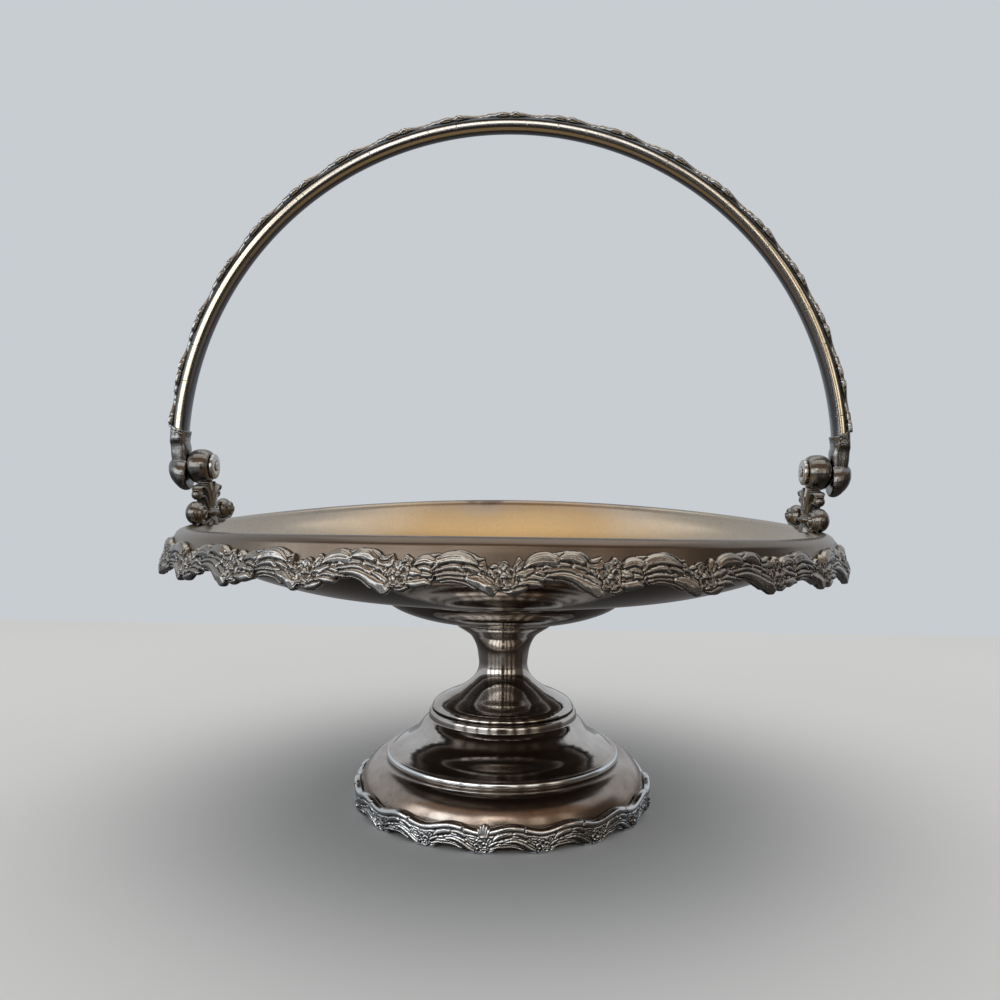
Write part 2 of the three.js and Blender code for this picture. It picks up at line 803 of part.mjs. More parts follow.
// The drop-shaped knuckle on the pivot, and the ferrule that rises from it.
function handleEndGeometry() {
  const knuckle = skin(knuckleShape.map(([along, share]) => {
    const radius = knuckleRadius * share;
    const drop = knuckleDrop * (1 - along);
    const ring = [];
    for (let i = 0; i < smallSides; i++) {
      const angle = (2 * Math.PI * i) / smallSides;
      const x = knuckleInner + knuckleLength * along;
      ring.push(new THREE.Vector3(x, radius * Math.cos(angle), radius * Math.sin(angle) - drop));
    }
    return ring;
  }), false);
  const middleAt = (height) =>
    onArch(Math.asin((height - archRise) / archMiddle), archMiddle, 0).x + stripThickness / 2;
  const ferruleDepth = bowDepth + stripThickness + 2 * (seam + ferruleWall);
  const swell = ferruleNeckHeight + ferruleSwell;
  const socketFloor = ferruleHeight - socketDepth;
  // Height, middle, half depth and half width of each section
  const levels = [
    [0, knuckleMiddle, knuckleLength * 0.42, knuckleRadius * 0.5],
    [knuckleRadius * 0.5, knuckleMiddle - ferruleNeckLean / 2, ferruleNeckDepth * 0.52, ferruleNeckWidth * 0.46],
    [ferruleNeckHeight, knuckleMiddle - ferruleNeckLean, ferruleNeckDepth / 2, ferruleNeckWidth / 2],
    [swell, middleAt(swell), ferruleDepth * 0.45, bowWidth / 2 - 0.8],
    [socketFloor, middleAt(socketFloor), ferruleDepth * 0.48, bowWidth / 2 + 0.4],
    [ferruleHeight, middleAt(ferruleHeight), ferruleDepth / 2, bowWidth / 2 + seam + ferruleWall],
  ];
  const squareness = 0.7;
  const rounded = (value) => Math.sign(value) * Math.abs(value) ** squareness;
  const rings = levels.map(([height, x, halfDepth, halfWidth]) => {
    const ring = [];
    for (let i = 0; i < ferruleSides; i++) {
      const angle = (2 * Math.PI * i) / ferruleSides;
      const inward = halfDepth * rounded(Math.cos(angle));
      ring.push(new THREE.Vector3(x + inward, halfWidth * rounded(Math.sin(angle)), height));
    }
    return ring;
  });
  const socketStart = Math.asin((socketFloor - archRise) / archMiddle);
  const socket = toSolid(sweptBow(socketStart, bowEndAngle + 0.12, 3, seam));
  const body = joined([knuckle, skin(rings, false)]);
  return toGeometry(body.subtract(socket).subtract(boreAlongX(knuckleInner, knuckleOuter)));
}

const handleEnd = handleEndGeometry();
addPiece(handle, "handle_end_right", handleEnd, handleSilver);
addPiece(handle, "handle_end_left", handleEnd, handleSilver).rotation.z = Math.PI;

const assembly = new THREE.Group();
assembly.add(basket, handle);

export default assembly;
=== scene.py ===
import math

import bmesh
import bpy
import numpy as np
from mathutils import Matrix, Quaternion, Vector


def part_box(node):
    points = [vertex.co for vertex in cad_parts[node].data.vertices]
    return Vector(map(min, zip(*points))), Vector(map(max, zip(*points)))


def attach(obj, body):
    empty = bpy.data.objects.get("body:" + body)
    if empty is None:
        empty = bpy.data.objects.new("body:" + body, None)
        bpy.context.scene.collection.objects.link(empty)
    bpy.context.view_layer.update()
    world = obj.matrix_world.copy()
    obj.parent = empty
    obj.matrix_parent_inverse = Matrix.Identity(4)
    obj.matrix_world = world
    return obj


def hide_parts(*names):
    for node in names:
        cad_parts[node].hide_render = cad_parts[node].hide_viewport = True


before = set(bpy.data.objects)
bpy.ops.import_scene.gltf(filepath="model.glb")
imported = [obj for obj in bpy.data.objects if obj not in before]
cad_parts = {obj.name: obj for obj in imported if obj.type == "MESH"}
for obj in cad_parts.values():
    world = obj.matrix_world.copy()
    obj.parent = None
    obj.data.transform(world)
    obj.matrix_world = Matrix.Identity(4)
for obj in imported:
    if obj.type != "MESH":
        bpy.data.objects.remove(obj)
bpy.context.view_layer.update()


def linked(name, data):
    """A new object in the scene, made of its data."""
    made = bpy.data.objects.new(name, data)
    bpy.context.collection.objects.link(made)
    return made


# The studio: the basket stands on a pale table before a pale wall, under one large soft ceiling.
# The camera stands at the photograph's place. A dark room with a row of windows and a polished
# board, which only reflections see, gives the silver its darks and its highlights.

camera_data = bpy.data.cameras.new("camera")
camera_data.lens = 34.55
camera_data.sensor_width = 36
camera_data.clip_start = 0.01
camera = linked("camera", camera_data)
azimuth = math.radians(2.47)
pitch = math.radians(2.372)
roll = math.radians(0.562)
to_side = Quaternion((0, 0, 1), azimuth)
camera.location = to_side @ Vector((-0.00186, -0.37323, 0.13233))
camera.rotation_mode = "QUATERNION"
camera.rotation_quaternion = (
    to_side @ Quaternion((1, 0, 0), math.pi / 2 - pitch) @ Quaternion((0, 0, 1), roll)
)
bpy.context.scene.camera = camera
bpy.context.scene.view_settings.view_transform = "Standard"


class Socket:
    """A socket of a node tree: sums on it add Math nodes."""

    def __init__(self, finish, socket):
        self.finish = finish
        self.socket = socket

    def math(self, operation, *others):
        return self.finish.node("Math", {"operation": operation}, dict(enumerate((self, *others))))

    def __add__(self, other):
        return self.math("ADD", other)

    __radd__ = __add__

    def __sub__(self, other):
        return self.math("SUBTRACT", other)

    def __rsub__(self, other):
        return self.finish.node("Math", {"operation": "SUBTRACT"}, {0: other, 1: self})

    def __mul__(self, other):
        return self.math("MULTIPLY", other)

    def clamped(self):
        return self.finish.node("Clamp", {}, {"Value": self})


class Finish:
    """A material, or the world, under construction."""

    def __init__(self, block):
        self.block = block
        block.use_nodes = True
        self.tree = block.node_tree
        self.tree.nodes.clear()

    def node(self, kind, settings=None, sockets=None, out=0):
        """Adds a node with its settings and inputs, and gives one of its outputs."""
        made = self.tree.nodes.new("ShaderNode" + kind)
        for key, value in (settings or {}).items():
            if key == "stops":
                ramp = made.color_ramp
                while len(ramp.elements) < len(value):
                    ramp.elements.new(0.5)
                for stop, (place, colour) in zip(ramp.elements, value):
                    stop.position = place
                    stop.color = (*colour, 1)
            else:
                setattr(made, key, value)
        for key, value in (sockets or {}).items():
            if isinstance(value, Socket):
                self.tree.links.new(value.socket, made.inputs[key])
            elif value is not None:
                made.inputs[key].default_value = value
        return Socket(self, made.outputs[out])

    def mixed(self, share, first, second):
        """Two colours, from first at 0 to second at 1."""
        colours = [(*c, 1) if isinstance(c, tuple) else c for c in (first, second)]
        settings = {"data_type": "RGBA"}
        return self.node("Mix", settings, {0: share, 6: colours[0], 7: colours[1]}, out=2)

    def noise(self, place, scale, detail, roughness=0.5):
        """Clouds, from 0 to 1 and mostly about 0.5."""
        return self.node("TexNoise", {}, {
            "Vector": place, "Scale": scale, "Detail": detail, "Roughness": roughness,
        })

    def ramp(self, value, start, end, first=0.0, last=1.0, kind="LINEAR"):
        """Goes from first to last while the value goes from start to end."""
        settings = {"interpolation_type": kind}
        return self.node("MapRange", settings, {0: value, 1: start, 2: end, 3: first, 4: last})

    def axis(self, vector, number):
        """One part of a vector: 0 along X, 1 along Y, 2 along Z."""
        return self.node("SeparateXYZ", {}, {0: vector}, out=number)

    def glow(self, colour):
        return self.node("Emission", {}, {"Color": (*colour, 1), "Strength": 1.0})

    def finished(self, shader, kind="OutputMaterial"):
        output = self.tree.nodes.new("ShaderNode" + kind)
        self.tree.links.new(shader.socket, output.inputs["Surface"])
        return self.block

    def plated(self, colour, gloss, strength, height):
        """Polished metal of a colour and roughness, with fine bumps of a strength and height."""
        bumps = self.node("Bump", {}, {"Strength": strength, "Distance": 0.0002, "Height": height})
        return self.finished(self.node("BsdfPrincipled", {}, {
            "Base Color": colour, "Metallic": 1.0, "Roughness": gloss.clamped(), "Normal": bumps,
        }))


def new_coat(name):
    """A material under construction, and the place of each point of what it covers."""
    coat = Finish(bpy.data.materials.new(name))
    return coat, coat.node("TexCoord", out=3)


wall_colour = (0.58, 0.61, 0.645)
world = Finish(bpy.data.worlds.new("room"))
bpy.context.scene.world = world.finished(
    world.node("Background", {}, {"Color": (*wall_colour, 1), "Strength": 1.0}), "OutputWorld"
)

# The table's own finish turns into the wall's past the table's far edge.
table_edge = 0.376
table, table_place = new_coat("pale_table")
table_cloud = table.noise(table_place, 3.0, 3.0)
table_shader = table.node("BsdfPrincipled", {}, {
    "Base Color": table.mixed(table_cloud, (0.70, 0.68, 0.65), (0.77, 0.75, 0.72)),
    "Roughness": 0.8, "Specular IOR Level": 0.0,
})
past_table = table.ramp(table.axis(table_place, 1), table_edge, table_edge + 0.004)
bpy.ops.mesh.primitive_plane_add(size=12)
floor = bpy.context.object
floor.name = "table_top"
floor.data.materials.append(table.finished(
    table.node("MixShader", {}, {0: past_table, 1: table_shader, 2: table.glow(wall_colour)})
))

# What only reflections see: a dark wall in front with a warm ceiling over it, a dim wall at the
# right and a dark polished board below. A card without a colour of its own is the board.
for card_name, finish_name, glow, place, size, tilt, turn in (
    ("card_front", "dark_card", (0.045, 0.034, 0.027), (0, -1.5, 0.375), (6.0, 0.75), 90, 0),
    ("card_above", "warm_card", (0.30, 0.20, 0.14), (0, -1.0, 1.125), (6.0, 1.25), 36.9, 0),
    ("card_right", "dim_card", (0.12, 0.10, 0.085), (1.5, -0.55, 0.35), (1.9, 0.7), 90, 90),
    ("board_below", "dark_board", None, (0, 0, 0.001), (6.0, 6.0), 0, 0),
):
    coat = Finish(bpy.data.materials.new(finish_name))
    polished = {"Base Color": (0.05, 0.034, 0.025, 1), "Roughness": 0.22}
    shader = coat.glow(glow) if glow else coat.node("BsdfPrincipled", {}, polished)
    bpy.ops.mesh.primitive_plane_add(size=1, location=place)
    card = bpy.context.object
    card.name = card_name
    card.scale = (*size, 1)
    card.rotation_euler = (math.radians(tilt), 0, math.radians(turn))
    card.data.materials.append(coat.finished(shader))
    card.visible_camera = False
    card.visible_shadow = False
    card.visible_diffuse = False


def soft_box(name, place, aim, size, watts, colour):
    """A rectangular lamp at a place that shines at another."""
    lamp = bpy.data.lights.new(name, "AREA")
    lamp.shape = "RECTANGLE"
    lamp.size, lamp.size_y = size
    lamp.energy = watts
    lamp.color = colour
    box = linked(name, lamp)
    box.location = place
    box.rotation_mode = "QUATERNION"
    box.rotation_quaternion = (box.location - Vector(aim)).to_track_quat("Z", "Y")
    box.visible_camera = False
    return box


# A row of windows: how far round from the front in degrees, width, brightness and colour.
window_height = 0.52
window_level = 0.35
window_distance = 1.15
for number, (turn, width, brightness, colour) in enumerate((
    (-66, 0.30, 2.4, (0.93, 0.97, 1.0)),
    (-46, 0.32, 3.0, (0.93, 0.97, 1.0)),
    (-27, 0.28, 3.2, (0.95, 0.98, 1.0)),
    (-11, 0.16, 2.6, (1.0, 0.98, 0.93)),
    (13, 0.12, 1.8, (1.0, 0.94, 0.84)),
    (30, 0.22, 1.5, (1.0, 0.94, 0.84)),
    (52, 0.22, 0.8, (1.0, 0.92, 0.8)),
)):
    round_by = math.radians(turn)
    stand = (window_distance * math.sin(round_by), -window_distance * math.cos(round_by))
    watts = brightness * math.pi * width * window_height
    window = soft_box(
        f"window_{number}", (*stand, window_level), (0, 0, window_level),
        (width, window_height), watts, colour,
    )
    window.visible_diffuse = False
window = soft_box(
    "window_high", (-0.05, -1.15, 0.64), (0, 0, 0.26), (0.5, 0.22), 0.85, (1.0, 0.97, 0.9)
)
window.visible_diffuse = False
soft_box("ceiling", (0.0, 0.1, 1.3), (0, 0.1, 0.1), (1.6, 1.5), 6.4, (1.0, 0.98, 0.95))


# The foot: silver plate on spun sheet, a stepped dome with a rolled bead between its tiers.
# An upright lip on top takes the stem, and the sheet turns in to a flat ring at the base.

MM = 0.001


def along(points, steps=6):
    """A smooth line through points; a point that is given twice stays a corner."""
    runs = [[np.array(points[0], float)]]
    for place in points[1:]:
        place = np.array(place, float)
        if np.allclose(place, runs[-1][-1]):
            runs.append([place])
        else:
            runs[-1].append(place)
    line = []
    for run in runs:
        if len(run) < 2:
            line.extend(run)
            continue
        padded = [2 * run[0] - run[1], *run, 2 * run[-1] - run[-2]]
        for a, b, c, d in zip(padded, padded[1:], padded[2:], padded[3:]):
            ta = max(np.linalg.norm(b - a), 1e-9) ** 0.5
            tb = max(np.linalg.norm(c - b), 1e-9) ** 0.5
            tc = max(np.linalg.norm(d - c), 1e-9) ** 0.5
            start = (b - a) / ta - (c - a) / (ta + tb) + (c - b) / tb
            end = (c - b) / tb - (d - b) / (tb + tc) + (d - c) / tc
            for i in range(steps):
                t = i / steps
                line.append(
                    (2 * t**3 - 3 * t**2 + 1) * b
                    + (t**3 - 2 * t**2 + t) * tb * start
                    + (-2 * t**3 + 3 * t**2) * c
                    + (t**3 - t**2) * tb * end
                )
        line.append(run[-1])
    return np.array(line)


def arc(middle, radius, start, end, steps=8):
    """Part of a circle, from one angle in degrees to another."""
    angles = np.radians(np.linspace(start, end, steps + 1))
    return [(middle[0] + radius * math.cos(a), middle[1] + radius * math.sin(a)) for a in angles]


def heading(line):
    """The direction of a line at each of its points."""
    step = np.gradient(line, axis=0)
    return step / np.maximum(np.linalg.norm(step, axis=1), 1e-9)[:, None]


def beside(line, distance):
    """A line moved to its right by a distance."""
    step = heading(line)
    return line + distance * np.stack([step[:, 1], -step[:, 0]], 1)


def skinned(name, grid, capped=False):
    """A closed mesh over rings of points: the rings are joined in a loop, or the ends capped."""
    rings, count = grid.shape[:2]
    spans = rings - 1 if capped else rings
    i, j = np.meshgrid(np.arange(spans), np.arange(count), indexing="ij")
    k, n = (j + 1) % count, (i + 1) % rings
    faces = np.stack([i * count + j, n * count + j, n * count + k, i * count + k], -1)
    faces = faces.reshape(-1, 4).tolist()
    if capped:
        faces.append(list(range(count)))
        faces.append([(rings - 1) * count + j for j in reversed(range(count))])
    mesh = bpy.data.meshes.new(name)
    mesh.from_pydata(grid.reshape(-1, 3).tolist(), [], faces)
    mesh.shade_smooth()
    mesh.validate()
    mesh.update()
    work = bmesh.new()
    work.from_mesh(mesh)
    bmesh.ops.remove_doubles(work, verts=work.verts, dist=1e-7)
    bmesh.ops.recalc_face_normals(work, faces=work.faces)
    if work.calc_volume(signed=True) < 0:
        bmesh.ops.reverse_faces(work, faces=work.faces)
    work.to_mesh(mesh)
    work.free()
    return linked(name, mesh)


def all_round(count):
    """Angles once round a circle."""
    return np.linspace(0, 2 * math.pi, count, endpoint=False)


def spun(name, outline, sides=192, shape=None):
    """A closed outline of radius and height, in millimetres, turned about the Z axis."""
    outline = np.array(outline) * MM
    angles = all_round(sides)
    radius, level = outline[:, 0], outline[:, 1]
    grid = np.stack([
        np.outer(np.sin(angles), radius),
        np.outer(-np.cos(angles), radius),
        np.tile(level, (sides, 1)),
    ], -1)
    if shape:
        grid = shape(grid)
    return skinned(name, grid)


def silver(name, tint, dull, tarnish, roughness, bead=None):
    """Old silver plate: a tint where it is rubbed bright, dull where tarnish lies in clouds.

    It is darker and duller towards the table. A bead, given by its level and radius, is rubbed
    bright and carries a painted bluish-white highlight."""
    coat, place = new_coat(name)
    cloud = coat.noise(place, 38.0, 6.0, 0.62)
    fleck = coat.noise(place, 420.0, 3.0, 0.7)
    stretched = coat.node("Mapping", {}, {"Vector": place, "Scale": (160, 160, 1900)})
    lines = coat.noise(stretched, 1.0, 4.0, 0.75)
    level = coat.axis(place, 2)
    low = coat.ramp(level + (cloud - 0.5) * 0.012, 0.010, 0.024, 1.0, 0.0)
    spread = coat.ramp(cloud, 0.38, 0.66)
    specks = coat.ramp(fleck, 0.62, 0.74)
    stain = ((spread + low) * tarnish + specks * (tarnish * 0.5)).clamped()
    colour = coat.mixed(stain, tint, dull)
    # Painted highlight: a rubbed bead is mixed towards a bluish white, brighter than the plate
    # itself.
    if bead:
        middle, half = bead[0] * MM, bead[1] * MM
        proud = coat.ramp((level - middle).math("ABSOLUTE"), 0.5 * half, half, 0.85, 0.0)
        colour = coat.mixed(proud, colour, (0.88, 0.94, 0.98))
    gloss = roughness + stain * 0.125 + low * 0.04 + (lines - 0.5) * 0.07
    return coat.plated(colour, gloss, 0.06, lines + fleck * 0.6)


foot_top = 35.8
foot_seat = 34.4
bead_middle = (43.8, 19.1)
bead_radius = 1.5
sheet = 1.1

foot_face = np.vstack([
    [(9.0, foot_seat), (26.6, foot_seat)],
    along([
        (27.0, foot_seat + 0.3), (27.0, foot_top - 0.5),
        *arc((27.7, foot_top - 0.6), 0.6, 160, 20, 6),
        (28.56, foot_top - 0.9), (28.72, foot_top - 1.5), (28.75, foot_top - 2.3),
        (28.76, foot_top - 2.95),
    ], 4),
    along([
        (28.8, foot_top - 3.05), (30.8, 31.0), (33.9, 27.0), (36.9, 24.5), (40.4, 22.7),
        (43.0, 20.75),
    ], 10),
    arc(bead_middle, bead_radius, 112, -78, 14),
    along([(44.3, 17.6), (48.4, 17.35), (51.4, 15.1), (53.6, 12.2), (54.75, 9.4), (55.0, 7.0)], 10),
    along([(55.0, 5.6), (54.2, 4.4), (53.4, 3.6), (53.2, 2.6)], 4),
])
foot_outline = np.vstack([
    foot_face,
    [(53.2, 0.3), (52.9, 0.0), (50.6, 0.0), (50.4, 0.2), (50.4, sheet), (52.1, sheet), (52.1, 3.4)],
    along([
        (53.7, 5.6), (53.6, 7.4), (52.6, 11.2), (50.6, 14.3), (48.0, 16.1), (44.0, 16.6),
        (42.2, 19.2), (39.6, 21.6), (36.2, 23.3), (33.0, 26.2), (29.9, 30.2),
        (27.9, foot_seat - 2.0),
    ], 6),
    [(26.8, foot_seat - sheet), (9.0, foot_seat - sheet)],
])
foot = spun("foot_spun", foot_outline)
old_plate = ((0.62, 0.59, 0.56), (0.27, 0.205, 0.16), 0.62, 0.085)
foot.data.materials.append(
    silver("foot_spun_silver", *old_plate, bead=(bead_middle[1], bead_radius))
)
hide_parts("foot")
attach(foot, "basket")


# The stem: a spun silver-plated tube with a waist, soldered into the foot's lip.
# It flares to a rolled edge below, and to a wide mouth under the cup above.

stem_base = 34.7
stem_top = 69.4
stem_face = np.vstack([
    [(26.7, stem_base), (26.7, 35.9)],
    along([
        (26.9, 36.1), (27.35, 36.2), (27.55, 36.6), (27.2, 37.4), (26.1, 38.8), (22.4, 40.9),
        (18.2, 42.7), (13.3, 45.9), (10.4, 49.4), (9.5, 52.4), (9.7, 55.7), (10.5, 60.0),
        (12.7, 64.2), (15.4, 66.3), (17.9, 67.9), (19.1, 68.9), (19.4, 69.25), (19.3, stem_top),
    ], 8),
])
stem_bore = along([
    (17.6, stem_top), (14.6, 67.3), (11.5, 64.6), (9.2, 60.0), (8.3, 54.0), (9.2, 49.2),
    (12.3, 45.0), (17.4, 41.6), (23.6, 38.6), (25.3, 36.0), (25.3, stem_base),
], 4)
stem = spun("stem_spun", np.vstack([stem_face, stem_bore]), 128)
stem.data.materials.append(silver("spun_silver", *old_plate))
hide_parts("stem")
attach(stem, "basket")


# The support cup: a shallow spun saucer, soldered between the stem's flare and the bowl.
# A fine turned line rings its underside.

cup_base = 69.7
cup_top = 80.7
cup_face = np.vstack([
    [(0.0, cup_base), (19.3, cup_base)],
    along([
        (19.6, cup_base + 0.06), (24.2, 70.55), (25.2, 70.75), (25.5, 70.95), (25.9, 70.98),
        (30.0, 71.85), (35.0, 73.1), (40.0, 74.9), (43.5, 76.7), (46.2, 78.9), (47.4, 80.4),
    ], 8),
    [(47.4, cup_top - 0.1), (47.2, cup_top)],
])
cup_inside = beside(cup_face[2:-2], -sheet)[::-1]
cup_inside = cup_inside[cup_inside[:, 1] < cup_top - 0.2]
cup = spun("support_cup_spun", np.vstack([
    cup_face, [(46.2, cup_top)], cup_inside, [(0.0, cup_base + sheet + 0.3)],
]), 160)
# Painted shade: the cup's plate is tinted darker than the foot's, for its underside under the bowl.
cup.data.materials.append(
    silver("cup_silver_painted_shade", (0.42, 0.395, 0.37), (0.19, 0.15, 0.12), 0.62, 0.085)
)
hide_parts("support_cup")
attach(cup, "basket")


# The bowl: a shallow spun dish whose rim folds over into a flange and sags towards the lugs.
# Its satin plate carries painted reflections: golden inside from a warm room, browner at the rim
# from a dark table. It is greyer at the sides.

bowl_floor = 80.08
rim_level = 111.98
rim_radius = 118.1
rim_sag = 5.0
sag_start = 60.0


def sag(x, radius):
    """How far the dish hangs at a place, in millimetres: most at the lugs."""
    share = np.clip((radius - sag_start) / (rim_radius - sag_start), 0, 1)
    return rim_sag * share * share * (3 - 2 * share) * (x / np.maximum(radius, 1e-6)) ** 2


def sagged(grid):
    """A grid in metres, let down by the sag."""
    lowered = grid.copy()
    radius = np.hypot(grid[..., 0], grid[..., 1])
    lowered[..., 2] -= sag(grid[..., 0] / MM, radius / MM) * MM
    return lowered


def points_of(piece, what="co"):
    """The places of a piece's points, or their normals."""
    values = np.empty(len(piece.data.vertices) * 3)
    piece.data.vertices.foreach_get(what, values)
    return values.reshape(-1, 3)


def marked(piece, name, values):
    """Gives each point of a piece a value that its material can read."""
    layer = piece.data.attributes.new(name, "FLOAT", "POINT")
    layer.data.foreach_set("value", values.astype(np.float32))


def bowl_finish():
    """Satin plate with painted reflections, golden in the dish's middle and browner at the rim;
    greyer at the sides, and darker brown underneath as painted shade.
    """
    coat, place = new_coat("bowl_silver")
    flat = coat.node("VectorMath", {"operation": "MULTIPLY"}, {0: place, 1: (1, 1, 0)})
    radius = coat.node("VectorMath", {"operation": "LENGTH"}, {0: flat}, out=1)
    inside = coat.node("Attribute", {"attribute_name": "inside"}, out=2)
    cloud = coat.noise(place, 26.0, 7.0, 0.6)
    fleck = coat.noise(place, 700.0, 2.0, 0.6)
    drawn_out = coat.node("Mapping", {}, {
        "Vector": place, "Scale": (900, 60, 60), "Rotation": (0, 0, 0.5),
    })
    scratch = coat.noise(drawn_out, 1.0, 5.0, 0.8)
    reach = radius * (1 / (rim_radius * MM)) + (cloud - 0.5) * 0.12
    # Painted reflections: golden in the dish's middle, browner and darker towards the rim and
    # flange.
    toned = coat.node("ValToRGB", {"stops": [
        (0.0, (0.68, 0.46, 0.215)), (0.50, (0.64, 0.42, 0.19)), (0.84, (0.46, 0.285, 0.12)),
        (0.95, (0.35, 0.24, 0.13)), (0.99, (0.30, 0.235, 0.18)), (1.0, (0.14, 0.109, 0.086)),
    ]}, {"Fac": reach})
    to_side = (coat.axis(place, 0) + (cloud - 0.5) * 0.04).math("ABSOLUTE")
    most = coat.ramp(radius, 0.1165, 0.1185, 0.8, 0.3)
    toned = coat.mixed(coat.ramp(to_side, 0.04, 0.10, 0.0, most), toned, (0.49, 0.44, 0.37))
    # Painted shade: the underside is a darker brown than the inside.
    under = coat.mixed(cloud, (0.30, 0.26, 0.22), (0.19, 0.15, 0.12))
    specks = coat.ramp(fleck, 0.60, 0.75, 0.0, 0.35)
    colour = coat.mixed(specks, coat.mixed(inside, under, toned), (0.16, 0.12, 0.085))
    past_crest = coat.ramp(radius, 0.1175, 0.119, 1.0, 1.1)
    gloss = inside * past_crest * 0.19 + 0.07 + cloud * 0.05 + (scratch - 0.5) * inside * 0.14
    return coat.plated(colour, gloss, 0.05, scratch + fleck * 0.5)


bowl_inside = along([
    (0.0, bowl_floor), (20.0, bowl_floor), (34.0, bowl_floor + 0.1), (45.4, 81.7), (65.8, 84.9),
    (77.2, 87.1), (86.2, 90.2), (96.0, 94.5), (104.2, 99.1), (111.3, 104.6), (115.0, 109.3),
    (116.3, 111.35), (rim_radius, rim_level), (120.1, 111.45), (121.45, 110.2), (121.9, 108.8),
    (122.5, 106.0), (123.0, 103.5),
], 8)
bowl_under = beside(bowl_inside, sheet)
bowl_under[0, 0] = 0.0
bowl = spun("bowl_spun", np.vstack([bowl_inside, bowl_under[::-1]]), 224, sagged)
bowl_x, bowl_y, bowl_z = points_of(bowl).T / MM
bowl_reach = np.hypot(bowl_x, bowl_y)
face_level = np.interp(bowl_reach, bowl_inside[:, 0], bowl_inside[:, 1]) - sag(bowl_x, bowl_reach)
marked(bowl, "inside", bowl_z > face_level - sheet * 0.4)
bowl.data.materials.append(bowl_finish())
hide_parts("bowl")
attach(bowl, "basket")


# The rim border: a cast band soldered round the flange, in repeats from flower to flower.
# Long leaves sweep over each arch and lap over one another; tarnish stays dark between them.

fullness = 1.3          # how much wider a leaf is cast than it is drawn below
groove_width = 0.34
rib_depth = 0.13
ground = 0.6            # height of the relief where no leaf lies


def leaf(relief, solid, xs, ys, points, widths, height, ribs):
    """Lays one leaf over a relief: rounded across, ribbed along, with a groove cut round it."""
    line = along(points, 7)
    margin = 2.5
    reach = (line[:, 0].min() - margin < xs) & (xs < line[:, 0].max() + margin)
    if not reach.any():
        return
    x, y = xs[reach], ys[reach]
    gap = (x[:, None] - line[:, 0]) ** 2 + (y[:, None] - line[:, 1]) ** 2
    closest = gap.argmin(1)
    step = np.gradient(line, axis=0)[closest]
    side = np.sign(step[:, 0] * (y - line[closest, 1]) - step[:, 1] * (x - line[closest, 0]))
    distance = np.sqrt(gap.min(1))
    half = fullness * np.interp(closest / (len(line) - 1), np.linspace(0, 1, len(widths)), widths)
    across = side * distance / half
    rounded = np.sqrt(np.clip(1 - across**2, 0, 1))
    body = height * (0.55 + 0.45 * rounded) * (1 + 0.1 * across)
    body *= 1 - rib_depth * (0.5 - 0.5 * np.cos(math.pi * ribs * (across + 1)))
    groove = np.clip((distance - half) / groove_width, 0, 1)
    inside = distance < half
    relief[reach] = np.where(inside, body, relief[reach] * (0.3 + 0.7 * groove))
    solid[reach] |= distance < half + 0.12


def flower(relief, solid, xs, ys, middle, size, petals=5, turn=96.0):
    """Lays an open flower over a relief: dished petals that lap, round a raised eye."""
    x, y = xs - middle[0], ys - middle[1]
    for petal in range(petals):
        angle = math.radians(turn + 360 * petal / petals)
        out = x * math.cos(angle) + y * math.sin(angle) - size * 0.6
        wide = y * math.cos(angle) - x * math.sin(angle)
        reach = np.hypot(out / (size * 0.44), wide / (size * 0.43))
        dish = 0.62 + 0.6 * np.clip(reach, 0, 1) ** 3
        inside = reach < 1
        groove = np.clip((reach - 1) / 0.28, 0, 1)
        relief[:] = np.where(inside, dish, relief * (0.1 + 0.9 * groove))
        solid |= reach < 1.1
    reach = np.hypot(x, y) / (size * 0.27)
    eye = 0.75 + 0.6 * np.sqrt(np.clip(1 - reach**2, 0, 1))
    relief[:] = np.where(reach < 1, eye, relief * (0.1 + 0.9 * np.clip((reach - 1) / 0.4, 0, 1)))


